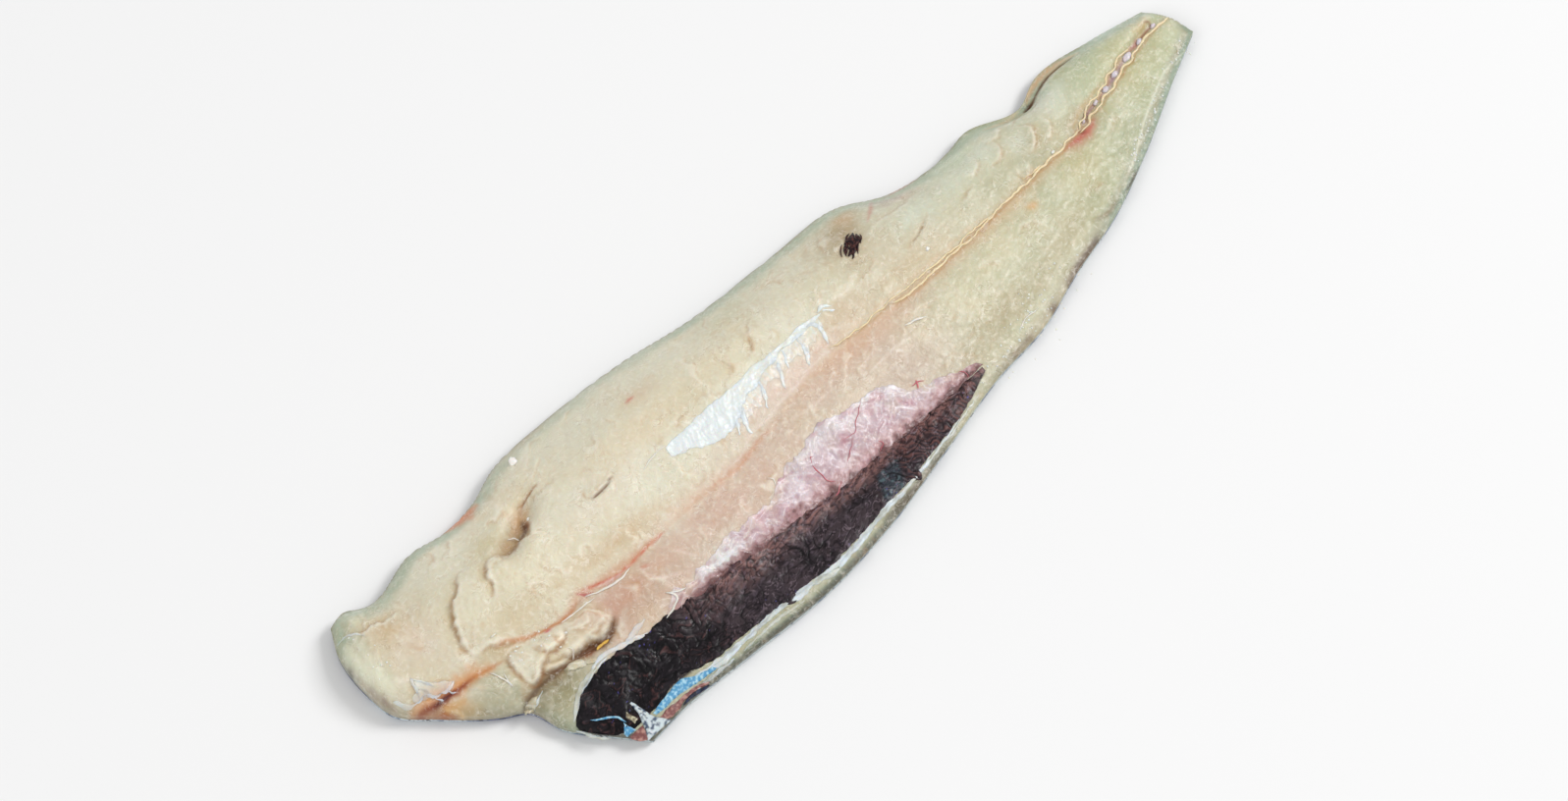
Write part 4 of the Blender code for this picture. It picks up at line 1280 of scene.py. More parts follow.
def make_flesh():
    """The muscle, with the whole cut side."""

    def top(points):
        """The cut side."""
        return read(HEIGHT, points)

    def bottom(points):
        """Just clear of the skin."""
        return underside_at(read(INSET, points)) + GAP

    verts, faces = patch(560, 160, top, bottom)
    tint = read(COLOUR, verts[:, :2])
    return piece("fillet_flesh", verts, faces, FLESH, "flesh", "flesh", tint=tint)


# Nicks and notches of the lining's outer edge: x, how far out, width.
NICKS = ((-106, 2.4, 1.4), (-72, 2.2, 2.4), (-53, 1.8, 1.6), (-9.5, 3.6, 1.6), (-120, -2.0, 6.0))


def winding(points, size, width, seed, kept, level=0.0):
    """1 on thin winding lines, broken into short lengths, and 0 between them. Another level gives
    lines that run beside those."""
    swells = noise(bent(points, 1.4 * size, seed, 0.8 * size), size, seed + 2, 2)
    return fade(swells - level, width) * ramp(noise(points, 1.2 * size, seed + 3), *kept)


def lining_creases(points):
    """How deep the lining's creases are at each point: long thin ones, and short ones closer
    together towards the head."""
    long = winding(points * (0.7, 1.2), 10, 0.06, 61, (-0.1, 0.3))
    short = winding(points * (0.9, 1.1), 4.5, 0.09, 66, (-0.1, 0.3))
    close = winding(points, 4.0, 0.17, 181, (-0.5, 0.0)) * ramp(-points[..., 0], 80, 100)
    return np.maximum(np.maximum(long, close), 0.9 * short * ramp(-points[..., 0], 30, 60))


def crinkles(points):
    """Crosswise crinkles, from -1 to 1, for the tail end of the lining."""
    slanted = points[..., 0] + 0.7 * points[..., 1] + 3.5 * noise(points, 6, 65, 2)
    return np.sin(slanted * 2 * np.pi / 2.8) * ramp(points[..., 0], -38, -14)


def lining_rise(points):
    """Low swells and small folds with thin creases cut in them, and crinkles at the tail end."""
    ridged = 1 - 2 * np.abs(noise(points * (0.7, 1.1), 4.2, 68, 2))
    return (
        0.34 * noise(points, 12, 69, 2)
        + 0.10 * noise(points * (0.8, 1.1), 4.5, 64, 2)
        + 0.08 * ridged * ramp(-points[..., 0], 70, 105)
        - 0.16 * lining_creases(points)
        - 0.08 * winding(points * (0.8, 1.1), 2.6, 0.2, 171, (-0.7, -0.1))
        + 0.20 * crinkles(points)
    )


def lining_tint(points):
    """Brownish black, blacker towards the head, with black creases, red-brown streaks on the
    midline side, crinkles at the tail end, and painted highlights: pale winding glints and small
    blue-violet glints."""
    x, y = points[:, 0], points[:, 1]
    paint = Paint(plain((60, 50, 54), len(points)))
    lay = paint.lay
    inner = np.interp(x, *np.array(LINING_INNER).T)
    lay((22, 18, 22), 0.7 * ramp(noise(points, 16, 71, 2), 0.0, 0.6))
    lay((52, 45, 50), 0.5 * ramp(noise(points, 20, 70, 2), 0.0, 0.6) * ramp(x, -105, -85))
    lay((21, 18, 22), 0.95 * ramp(-x, 98, 118))
    lay((58, 48, 50), 0.5 * ramp(noise(points, 7, 72, 2), 0.1, 0.7) * ramp(x, -105, -80))
    streaks = noise(points * (0.25, 1.0) + noise(points, 9, 73)[:, None] * 2, 1.3, 74, 3)
    depth = 11 - 3 * ramp(x, -80, -50)
    band = ramp((y - inner) / depth, -1, 0) * ramp(x, -112, -78)
    lay((134, 98, 94), band * (0.35 + 0.9 * ramp(streaks, -0.3, 0.5)))
    lay((70, 34, 36), 0.8 * band * ramp(-streaks, 0.1, 0.6))
    # Greyish streaks on the middle of the lining.
    grey_streaks = noise(points @ np.array([[0.5, -0.4], [0.5, 1.0]]), 1.6, 79, 2)
    lay((92, 80, 90), 0.5 * ramp(grey_streaks, 0.2, 0.7) * ramp(x, -105, -85) * ramp(-x, 20, 40))
    ragged = crinkles(points) + 0.8 * noise(points, 2, 75, 2)
    lay((108, 70, 66), 0.75 * ramp(x, -30, 0) * ramp(ragged, 0.1, 1.0))
    lay((32, 12, 16), 0.7 * ramp(x, -30, 0) * ramp(-ragged, 0.2, 1.0))
    patch_of_blue = ramp(-np.abs(x + 16.5 - 0.5 * (y + 44)), -6, -4)
    patch_of_blue *= ramp(-np.abs(y + 44.5), -5.2, -4.2)
    lay((50, 58, 66), 0.85 * patch_of_blue)
    lay((110, 136, 140), 0.4 * patch_of_blue * ramp(noise(points, 1.6, 76, 2), 0.1, 0.6))
    head = ramp(-x, 85, 105)
    faint = winding(points * (0.8, 1.1), 3.4, 0.10, 167, (-0.3, 0.3))
    lay((76, 64, 76), (0.35 - 0.25 * head) * faint)
    lay((96, 62, 60), 0.55 * head * winding(points, 4.0, 0.08, 181, (-0.5, 0.0), 0.34))
    fine = winding(points * (0.8, 1.1), 2.6, 0.13, 171, (-0.7, -0.1))
    lay((10, 5, 8), 0.8 * fine)
    # Painted highlights: pale glints along winding lines, fewer towards the head.
    shiny = winding(points * (0.8, 1.1), 2.8, 0.06, 176, (-0.3, 0.2))
    lay((150, 132, 142), (0.45 - 0.35 * head) * shiny)
    lay((4, 3, 5), 0.95 * lining_creases(points))
    # Painted highlights: small blue-violet glints.
    glints = ramp(noise(points, 1.1, 77, 2), 0.76, 0.86) * ramp(noise(points, 12, 78), 0.1, 0.5)
    lay((96, 88, 168), 0.7 * glints)
    return paint.coat


def make_lining():
    """The black lining of the belly wall: a wrinkled film with a ragged outer edge."""
    outer = along(LINING_OUTER, np.linspace(0, 1, 60))
    outer[:, 1] -= sum(out * fade(outer[:, 0] - x, width) for x, out, width in NICKS)
    verts, faces, spots = film(
        outer, LINING_INNER, 560, 84, 0.5, (0.4, 0.7), rise=lining_rise, seed=80, least=0.25
    )
    slot = node = "belly_lining"
    return piece("lining_film", verts, faces, DARK_FILM, slot, node, tint=lining_tint(spots))


# The rosy film's edges.
PINK_TOP = (
    (-109, -28.9), (-104.8, -26.5), (-102.6, -25), (-98, -26.6), (-94.3, -26.5), (-91, -24.6),
    (-87.4, -25.2), (-82, -24.6), (-76, -23), (-70, -24.6), (-64, -23.4), (-60.4, -23.6),
    (-55.5, -24.3), (-52.3, -22.8), (-47.3, -20.6), (-40.7, -18.5), (-33.4, -18), (-27.3, -15.3),
    (-22.4, -15), (-14.8, -16.6), (-4.8, -18), (4.8, -18.9), (8.1, -20.2), (9.7, -23.2),
    (15.7, -26.6), (24.8, -29.2), (29.9, -31.1), (37.4, -33),
)
PINK_LOW = (
    (-110, -30.2), (-95, -31.5), (-75, -33), (-50, -34.5), (-20, -36), (10, -36.5), (39, -35),
)


def pink_folds(points):
    """Fine wrinkles of the rosy film, mostly lengthwise: 1 on their crests."""
    return 1 - np.abs(noise(bent(points, 6, 91, 3) * (0.6, 1.1), 3.2, 93, 2))


def pink_rise(points):
    """Fine wrinkles on soft swells."""
    return 0.18 * (pink_folds(points) ** 2 - 0.5) + 0.5 * noise(points, 9, 94, 2)


def pink_tint(verts):
    """Rosy and half clear, with painted highlights on its wrinkles' crests and painted shade
    between them, and the colour of the muscle towards the head.
    """
    points, x, y = verts[:, :2], verts[:, 0], verts[:, 1]
    top, low = (np.interp(x, *np.array(edge).T) for edge in (PINK_TOP, PINK_LOW))
    clear = 0.5 * ramp(-x, 88, 102) + 0.3 * ramp(noise(points, 9, 89, 2), 0.0, 0.6)
    clear += 0.6 * ramp(y - top, -5.0, -0.5) * ramp(noise(points, 7, 88, 2), -0.5, 0.3)
    paint = Paint(veil(verts, (196, 172, 179), 0.95 - clear))
    lay = paint.lay
    lay((210, 204, 204), 0.8 * ramp(y - top, -8.0, -2.5) * ramp(x, -55, -30) * ramp(-x, -18, -4))
    # Patches of white and deeper rose: partly the film's patchy tone, partly painted highlight and
    # shade.
    lay((226, 214, 219), 0.65 * ramp(noise(points, 10, 95, 2), 0.15, 0.65))
    lay((204, 150, 158), 0.5 * ramp(noise(points, 8, 96, 2), 0.15, 0.7))
    lay((180, 160, 172), 0.35 * ramp(-noise(points, 7, 87, 2), 0.1, 0.7))
    lay((224, 230, 228), 0.9 * fade(x + 82, 9) * fade(y + 28.6, 4))
    # Painted highlights on the wrinkles' crests and painted shade in their valleys.
    lay((244, 238, 242), 0.6 * ramp(pink_folds(points), 0.9, 0.99))
    lay((170, 122, 134), 0.45 * ramp(-pink_folds(points), -0.6, -0.3))
    # Partly the film's white edge, partly a painted highlight along it.
    lay((236, 230, 234), 0.4 * ramp(y - top, -1.4, -0.3) * ramp(noise(points, 3, 97, 2), -0.3, 0.5))
    lay((206, 170, 168), 0.5 * ramp(y - low, 1.0, 3) * ramp(low + 6 - y, -1, 2) * ramp(x, -60, -30))
    streaks = ramp(noise(points * (0.25, 1.0), 1.3, 98, 2), -0.3, 0.5)
    lay((148, 102, 98), ramp(low - y, -5.0, 0.5) * ramp(-x, 40, 75) * (0.3 + 0.7 * streaks))
    ragged = low - y + 2.2 * noise(points, 3.6, 86, 3)
    lay((156, 112, 112), 0.7 * ramp(ragged, -4.6, -2.6) * ramp(x, -104, -90))
    lay((104, 68, 68), 0.9 * ramp(ragged, -2.6, -0.8) * ramp(x, -104, -90))
    return paint.coat


def make_pink_film():
    """The rosy membrane between the muscle and the lining."""
    verts, faces, _ = film(PINK_LOW, PINK_TOP, 420, 64, 0.2, (0.4, 1.0), rise=pink_rise, seed=90)
    return piece("rosy_membrane", verts, faces, MEMBRANE, "flesh", tint=pink_tint(verts))


# The white film's edges.
WHITE_TOP = (
    (-69, 12.6), (-65.5, 13.4), (-59, 13.1), (-53.8, 13.9), (-47, 13.9), (-40.4, 13.8),
    (-33.4, 14.1), (-28.7, 14.3), (-25.7, 15), (-20, 14.1), (-14.8, 14.5), (-7.8, 14.7),
    (-2.5, 15.4), (3.9, 14.8), (8, 14),
)
WHITE_LOW = (
    (-69.6, 9.2), (-66.3, 8), (-61, 6.4), (-56, 3.7), (-51, 2.8), (-47.4, 3.3), (-43.5, 3.9),
    (-38, 6), (-33, 8.5), (-29.2, 8), (-26, 10), (-22.5, 11.4), (-18.7, 10.5), (-13.8, 13),
    (-10, 12.4), (-5.6, 12.2), (-0.6, 12.6), (5, 13.4),
)
# A half clear web between the white film's fingers: lower edge, upper edge.
WEB = (
    ((-46, 3), (-41, 1.5), (-36, 3.6), (-30, 3.6), (-25, 7), (-20.4, 5.4), (-14, 9), (-8, 7),
     (-2, 8.5), (5, 10)),
    ((-46.5, 4.4), (-40, 7), (-34, 9.2), (-27, 10.6), (-18, 12.4), (-8, 13.2), (5.4, 13.8)),
)
# Fingers of the white film, each from the film towards the midline: line, half width.
FINGERS = (
    (((-38.4, 8), (-40.6, 3), (-42.2, -2.4)), 1.0),
    (((-42, 6), (-44.6, 2), (-46, 0)), 0.6),
    (((-26.6, 10), (-29.2, 5.5), (-31.4, 0.8)), 0.95),
    (((-17, 12), (-19.6, 6), (-21.6, 2)), 1.0),
    (((-13.2, 13.8), (-13.9, 9.9), (-16, 6.4)), 0.45),
    (((-5.4, 12.6), (-6.6, 8), (-8.8, 2.8)), 1.1),
    (((-0.6, 14), (2.8, 12.4), (3.4, 9), (1.8, 4.4)), 1.0),
    (((6.8, 15), (9.5, 15.4), (12.6, 13.6)), 0.9),
    (((8.4, 14), (10.4, 13.4), (12.6, 12)), 0.7),
)


def white_rise(points):
    """Fine crosswise ribs and wrinkles."""
    x, y = points[..., 0], points[..., 1]
    ribs = np.sin((x - 0.3 * y + 1.2 * noise(points, 4, 102)) * 2 * np.pi / 1.9)
    return 0.05 * ribs * ramp(-x, 25, 45) + 0.2 * noise(points * (0.6, 1.2), 3, 103, 2)


def make_white_film():
    """The silvery white membrane on the loin, with its fingers."""
    sheet = film(WHITE_LOW, WHITE_TOP, 240, 34, 0.28, (0.8, 0.3), rise=white_rise, seed=100)[:2]
    web = film(*WEB, 160, 24, 0.12, (1.6, 0.3), rise=white_rise, seed=105)[:2]
    fingers = [
        ribbon(line, 0.85 * width, 0.2, 0.6, 110 + 2 * i) for i, (line, width) in enumerate(FINGERS)
    ]
    verts, faces = joined([sheet, *fingers, web])
    patchy = noise(verts[:, :2] * (0.6, 1.5), 2.4, 104, 2)
    clear = 0.45 * ramp(verts[:, 0], -48, -30) * ramp(patchy, -0.3, 0.5)
    patchy = noise(web[0][:, :2] * (1.6, 0.5), 2.4, 107, 2)
    clear[-len(patchy) :] = 0.55 + 0.4 * ramp(patchy, -0.4, 0.4)
    tint = veil(verts, (226, 232, 232), 1 - clear)
    return piece("white_membrane", verts, faces, MEMBRANE, "flesh", tint=tint)


def one_toned(name, bodies, colour, material, spread=0.12, seed=0):
    """Joins bodies into one piece with one colour that drifts a little from light to dark."""
    verts, faces = joined(bodies)
    drift = 1 + spread * noise(verts[:, :2], 2.5, seed, 2)
    return piece(name, verts, faces, material, "flesh", tint=linear(colour) * drift[:, None])


def make_midline():
    """The tan ridges along the midline and on both sides of the cut bones."""
    bodies = [
        strand(laid(line, 0.2), 0.85 * width, 0.42, 8, 0.6, wobble=0.6, seed=120 + 2 * i, ends=0.08)
        for i, (line, width) in enumerate(RIDGES)
    ]
    return one_toned("midline_ridges", bodies, (234, 216, 178), GRISTLE, seed=12)


def make_bones():
    """The ends of the cut bones, lilac white beads in the trough at the tail."""
    # x, y, half length, half width
    beads = (
        (137.8, 8.4, 0.8, 0.5), (147.1, 11.2, 1.2, 0.7), (154.4, 12.8, 1.6, 1.0),
        (161.8, 15.1, 1.7, 1.1),
        (171.0, 17.3, 2.4, 1.4), (179.6, 18.8, 1.7, 1.0), (188.4, 20.3, 1.3, 0.8),
    )
    bodies = [
        lump(x, y, (length, width, 0.8), 18, 0.35, 130 + i, lift=0.2)
        for i, (x, y, length, width) in enumerate(beads)
    ]
    return one_toned("bone_ends", bodies, (219, 213, 222), GRISTLE, spread=0.08, seed=13)


def make_threads():
    """White threads of connective tissue, torn free or lying on the muscle."""
    # line, height above the flesh at each of its points, half width
    loose = (
        (((-129.2, 27.6), (-127, 26.6), (-126.4, 24.4)), (0.3, 1.4, 0.3), 0.26),
        (((-104.6, -24), (-103, -25.6), (-102.6, -27.2), (-105.6, -28.8), (-110, -29.6)),
          (0.3, 0.4, 0.4, 0.3, 0.2), 0.4),
        (((-104.8, -24.2), (-101, -26.2), (-98, -26.8)), (0.3, 0.3, 0.2), 0.35),
        (((-142, -15.6), (-141.2, -17), (-142.6, -18.6)), (0.3, 1.0, 0.3), 0.2),
        (((-166.5, -3.6), (-165.1, -7.7), (-164.4, -10.3), (-164.2, -12.5)), (0.2, 0.3, 0.3, 0.2),
          0.3),
        (((-163, -7), (-164, -9.6), (-164.4, -12)), (0.2, 0.3, 0.2), 0.2),
        (((-158.8, 3.4), (-156.6, 3.4)), (0.5, 0.6), 0.3),
        (((-125, -6.2), (-121, -8.2), (-116, -9.6), (-110, -10), (-107, -9)),
          (0.2, 0.4, 0.4, 0.3, 0.2), 0.42),
        (((-137.4, -7.5), (-132.8, -8.3), (-127.3, -8.8), (-123, -9.2)), (0.2, 0.3, 0.3, 0.2),
          0.34),
        (((-80, 12), (-76.8, 12.9), (-71.8, 13.6), (-68, 13.2)), (0.1, 0.2, 0.2, 0.1), 0.26),
        (((-69.5, 8.8), (-66, 8.2), (-62, 7.2)), (0.1, 0.2, 0.2), 0.25),
        (((26.7, -8.2), (32.4, -9.3), (35.6, -10.8)), (0.1, 0.3, 0.1), 0.5),
        (((-50, -21.4), (-49, -19.4), (-50.4, -17.6)), (0.2, 0.4, 0.3), 0.22),
        (((58, -35), (62, -33), (70, -33)), (0.1, 0.15, 0.1), 0.25),
    )
    bodies = [
        strand(laid(line, lift, 0.8), width, 0.5 * width, sides=6, wobble=0.25, seed=140 + 2 * i)
        for i, (line, lift, width) in enumerate(loose)
    ]
    return one_toned("white_threads", bodies, (234, 229, 219), MEMBRANE, spread=0.06, seed=14)


def make_vessels():
    """Red threads: the small vessels in the rosy membrane."""
    # line, half width
    lines = (
        (((-32, -22.6), (-33.4, -21.2), (-34.7, -23), (-34.8, -27), (-34.2, -29.6), (-31.5, -32)),
          0.2),
        (((-29.8, -33.2), (-33.1, -35.3), (-35.8, -36.2)), 0.18),
        (((-4.8, -18), (-9.7, -21.2), (-13.8, -24.1), (-19.8, -23.8)), 0.11),
        (((-16.4, -25), (-21.1, -28.5), (-24.5, -30.8)), 0.09),
        (((14.6, -27), (15.6, -25.6), (16.2, -24.2)), 0.22),
        (((13.4, -25), (16, -25.4), (18.6, -26.4)), 0.22),
        (((30, -31.6), (31.4, -33.4), (31.2, -35.4)), 0.14),
        (((-10, -31.4), (-9, -33.2), (-12, -34.6)), 0.15),
    )
    bodies = [
        strand(laid(line, 0.45, 0.8), width, 0.16, sides=6, step=0.4, wobble=0.6, seed=200 + 2 * i)
        for i, (line, width) in enumerate(lines)
    ]
    return one_toned("red_vessels", bodies, (200, 104, 116), MEMBRANE, spread=0.2, seed=15)


def make_flakes():
    """Torn flakes of muscle beside the fold, with painted highlights along winding folds and
    painted warm shade between them.
    """
    # x, y, half length, half width, turn, lift, tip
    petals = (
        (-143.4, -20.9, 3.8, 1.8, -22, 0.5, 0.5),
        (-138.8, -23, 2.4, 1.0, -26, 0.3, 0.3),
        (-162.8, -19.4, 3.2, 1.6, 12, 0.7, 0.2),
    )
    verts, faces = joined([petal(*numbers, seed=220 + i) for i, numbers in enumerate(petals)])
    drift = noise(verts[:, :2], 2.4, 230, 2)
    folds = 0.42 - 0.924 * np.abs(noise(bent(verts[:, :2], 5, 243, 2), 6.5, 245))
    paint = Paint(veil(verts, (220, 214, 188), 0.45 + 0.3 * drift))
    # Painted highlights along the fold crests, and painted warm shade between them.
    paint.lay((246, 243, 230), 0.6 * ramp(folds, 0.28, 0.39))
    paint.lay((206, 172, 128), 0.35 * ramp(-folds, -0.02, 0.12))
    return piece("torn_flakes", verts, faces, FLESH, "flesh", tint=np.clip(paint.coat, 0, 1))


def make_torn_edges():
    """White and pale blue torn tissue along both edges of the lining and at the head end."""
    # line, half width, how much it covers
    outer = (
        (((-128, -49), (-112, -50.4), (-100, -51.4), (-88, -51.6), (-76, -51.8), (-64, -52.8),
          (-54, -53.6), (-44, -53), (-32, -51.6), (-20, -50.4), (-8, -48.8), (6, -46.4),
          (18, -43.8)), 0.8, 0.8),
        (((-110, -51), (-107.6, -52.2), (-104.5, -52.3), (-100.4, -51.6), (-96.7, -52.1)),
          1.2, 1.0),
        (((-97, -52.2), (-90, -52), (-84.7, -51.2), (-78, -51)), 0.7, 0.9),
        (((-80, -51.2), (-74.5, -51.9), (-69.5, -53), (-62, -53.2)), 1.2, 1.0),
        (((-64, -53.4), (-60, -53.6), (-56, -55), (-52.8, -55.4)), 1.1, 0.6),
        (((-53, -55.2), (-47.5, -53.9), (-41, -53.1), (-33.6, -52.2)), 1.1, 0.95),
        (((-35, -52.4), (-28.7, -51.1), (-23.2, -50.1), (-15.8, -50.7)), 0.7, 0.8),
        (((-8, -49.4), (0.3, -46.7), (11.7, -45.9), (22.4, -43.4), (30, -41.8)), 0.3, 0.5),
        (((-124, -52), (-117, -53.2), (-110, -53.6), (-102, -54)), 0.6, 0.6),
        (((-98, -54.4), (-84, -54), (-70, -55.4)), 0.6, 0.4),
    )
    inner = (
        (((-156.6, -33.6), (-152.9, -31.2), (-149, -28.4), (-145.4, -27.4), (-140, -25.6)),
          1.0, 0.55),
        (((-141, -26), (-136, -24.6), (-131, -25.6), (-125, -27.2), (-118, -29)), 1.0, 0.75),
        (((-150, -30.2), (-146, -28), (-140, -26.8), (-134, -26)), 0.5, 0.8),
        (((-115.7, -25.4), (-120.9, -26), (-126, -26.8)), 0.9, 0.6),
        (((-158, -36), (-156.4, -39), (-155, -42.4), (-152, -46)), 0.6, 0.6),
        (((-164, -20.6), (-160.5, -20.4), (-157, -18.8)), 0.35, 0.8),
    )
    frills = (
        (((-186.4, 11.4), (-185, 7.6), (-181.4, 4.6), (-177, 3)), 2.0, 0.4),
        (((-190.4, 8), (-187.4, 7.4), (-185, 5.4)), 1.5, 0.4),
        (((-186.6, 13), (-185.3, 10.7), (-184, 8), (-181.8, 5.2)), 0.45, 0.75),
        (((-186.6, 13), (-187.7, 9), (-189, 6.4)), 0.6, 0.8),
        (((-189.6, 6.6), (-185.9, 5.6), (-184.2, 3.6), (-181.9, 3.2)), 0.6, 0.85),
        (((-182.4, 3.4), (-180.4, 2.2), (-178.4, 2), (-176.4, 3.2)), 0.55, 0.85),
        (((-184.4, 4.2), (-184, 2.2), (-183.2, 0.8)), 0.3, 0.8),
        (((-180.4, 2.4), (-179.6, 0.6), (-178.6, -0.4)), 0.3, 0.8),
        (((-188.8, 6.6), (-191.5, 7.4), (-193.8, 10.4), (-195.2, 12.8)), 0.5, 0.7),
        (((-193.6, 42.9), (-191, 41.9), (-188.4, 39.2), (-187, 35)), 0.45, 0.7),
    )
    bodies, opacities = [], []
    for i, (line, width, opacity) in enumerate(outer + inner + frills):
        bodies.append(ribbon(line, width, 0.3, 0.45, 300 + 2 * i))
        opacities += [opacity] * len(bodies[-1][0])
    verts, faces = joined(bodies)
    patchy = 0.75 + 0.45 * noise(verts[:, :2] * (0.6, 1), 2.6, 299, 2)
    tint = veil(verts, (218, 227, 234), np.clip(opacities * patchy, 0, 1))
    return piece("torn_tissue", verts, faces, MEMBRANE, "flesh", tint=tint)


def two_toned(name, bodies, light, dark, grain, seed, slot="flesh", more_light=0.0):
    """Joins bodies into one piece whose colour goes patchily from dark to light."""
    verts, faces = joined(bodies)
    paint = Paint(plain(dark, len(verts)))
    patchy = noise(verts[:, :2], grain, seed, 2) + more_light
    paint.lay(light, ramp(patchy, -0.2, 0.5))
    return piece(name, verts, faces, MEMBRANE, slot, tint=paint.coat)


def make_blue_tissue():
    """Pale blue tissue that shows at the belly corner, where the lining has come away."""
    low = (
        (-135.2, -50.6), (-131.6, -50.9), (-126.3, -50.8), (-122, -51), (-116, -52), (-108, -52.6),
    )
    high = (
        (-135.6, -49.4), (-129, -48.1), (-124.2, -47.3), (-120.3, -47.2), (-116, -49.4),
        (-109, -51.4),
    )
    left, left_top = ((-147.4, -49.5), (-143.7, -49.8)), ((-147.5, -48), (-144.8, -44.6))
    streak = ((-152.6, -37.2), (-149.5, -39.5), (-145.3, -43), (-144.6, -46))
    bodies = [
        film(low, high, 90, 14, 0.5, (0.3, 0.4), seed=320)[:2],
        film(left, left_top, 20, 14, 0.4, (0.2, 0.3), seed=324)[:2],
        strand(laid(streak, 0.8), 0.4, 0.25, wobble=0.3, seed=326),
    ]
    return two_toned("blue_tissue", bodies, (170, 214, 232), (82, 152, 196), 1.3, 321)


def make_corner_tissue():
    """Brownish pink tissue at the belly corner, outside the blue, and a dark fold of skin on it."""
    low = ((-134.6, -54.2), (-129.4, -54.6), (-124.6, -53.4), (-120, -53.4), (-115, -54.6))
    high = ((-134.8, -52), (-129.5, -51.8), (-123.5, -51.8), (-117.5, -52.6), (-113, -54))
    left = ((-147, -51.2), (-144.6, -54.2), (-142.6, -55))
    left_top = ((-146.8, -50), (-144, -50), (-141, -50.2))
    bodies = [
        film(low, high, 60, 12, 0.4, (0.3, 0.4), seed=330)[:2],
        film(left, left_top, 24, 12, 0.35, (0.2, 0.2), seed=332)[:2],
    ]
    two_toned("corner_tissue", bodies, (184, 140, 130), (128, 80, 78), 1.6, 333)
    line = ((-126, -54.2), (-122.3, -53.7), (-118, -54.4), (-114.6, -55.2))
    fold = ribbon(line, 0.7, 0.2, 0.2, 336)
    two_toned("dark_skin_fold", [fold], (44, 56, 86), (22, 28, 48), 1.6, 337, slot="skin")


def make_skin_scrap():
    """A scrap of silver skin folded over the belly corner, and clear tissue beside its tip."""
    low = ((-138.8, -41.4), (-139.6, -46.5), (-141.4, -51.5), (-143.4, -55.2))
    high = ((-138, -41.2), (-137, -46.3), (-135.8, -50.8), (-132.6, -55.2))
    scrap = film(low, high, 70, 26, 0.9, (0.25, 0.25), seed=340)[:2]
    silver, grey = (206, 218, 222), (74, 88, 110)
    two_toned("silver_scrap", [scrap], silver, grey, 1.5, 341, slot="skin", more_light=0.35)
    low, high = ((-143.4, -44.4), (-142.6, -48.4)), ((-141.6, -42.4), (-140.4, -48))
    scrap = film(low, high, 20, 10, 0.5, seed=344)[:2]
    two_toned("clear_scrap", [scrap], (198, 192, 164), (120, 108, 88), 1.2, 345)


def make_clot():
    """The dark clot on the loin: ragged threads of black and brown side by side."""
    # line, half width
    threads = (
        (((40.6, 31), (38.6, 29), (36, 27.2), (33.6, 25)), 1.1),
        (((41, 29.4), (39.6, 27.4), (36.4, 25.6), (33.2, 23)), 1.1),
        (((39.4, 30.6), (36.6, 29.2), (33.4, 27), (31, 25.2)), 1.0),
        (((37.8, 27.8), (35, 25.6), (31.6, 23.4)), 1.2),
        (((40.4, 27.2), (38.4, 25.6), (36, 24.8)), 0.45),
        (((35.4, 28.8), (32, 26.4), (30.8, 24.4)), 0.4),
        (((34, 24.4), (32.4, 22.6), (31.4, 22.2)), 0.45),
        (((40, 31.6), (36.8, 30.4), (34, 28.6)), 0.35),
        (((38.8, 26), (36, 23.8), (34.4, 22.2)), 0.35),
        (((41.8, 28.4), (40.6, 26.2), (38.4, 24.8)), 0.35),
        (((33.8, 29.4), (31.2, 27.4), (29.6, 25.4)), 0.3),
    )
    bodies = [
        strand(laid(line, 0.2, 0.8), width, 0.4, step=0.4, wobble=0.35, seed=350 + 2 * i, ends=0.4)
        for i, (line, width) in enumerate(threads)
    ]
    verts, faces = joined(bodies)
    paint = Paint(plain((28, 17, 21), len(verts)))
    paint.lay((96, 58, 52), ramp(noise(verts[:, :2] * (1.0, 2.0), 1.2, 351, 2), -0.1, 0.6))
    return piece("dark_clot", verts, faces, DARK_FILM, "flesh", tint=paint.coat)


def make_wet_beads():
    """Tiny beads of water that stand on the moist edges and the belly side, coloured near white
    as a painted highlight.
    """
    rng = np.random.default_rng(19)
    # line, how far the beads stray from it, how many
    runs = (
        (((40, -40), (66, -36), (92, -30)), 5.5, 90),
        (((196, 7), (176, 2), (155, -8), (141, -14.6)), 1.4, 60),
        (((-192, 20), (-188, 40)), 3.0, 10),
        (((-160, -4), (-140, -9)), 4.0, 16),
        (((-110, -53), (-60, -55), (-30, -53)), 1.2, 24),
    )
    bodies = []
    for line, spread, count in runs:
        spots = along(line, rng.uniform(0, 1, count)) + spread * rng.normal(size=(count, 2))
        spots = spots[(read(INSET, spots) > 1.0) & (np.abs(spots[:, 1]) < 52)]
        for x, y in spots:
            radii = rng.uniform(0.25, 0.6) * np.array([1, 0.7, 0.5])
            bodies.append(lump(x, y, radii, rng.uniform(0, 180), 0.2, 5, 0.05, rings=5, sides=8))
    verts, faces = joined(bodies)
    # Near white, as a painted highlight for the beads' sparkle.
    tint = veil(verts, (246, 248, 244), 0.75)
    return piece("wet_beads", verts, faces, MEMBRANE, "flesh", tint=tint)


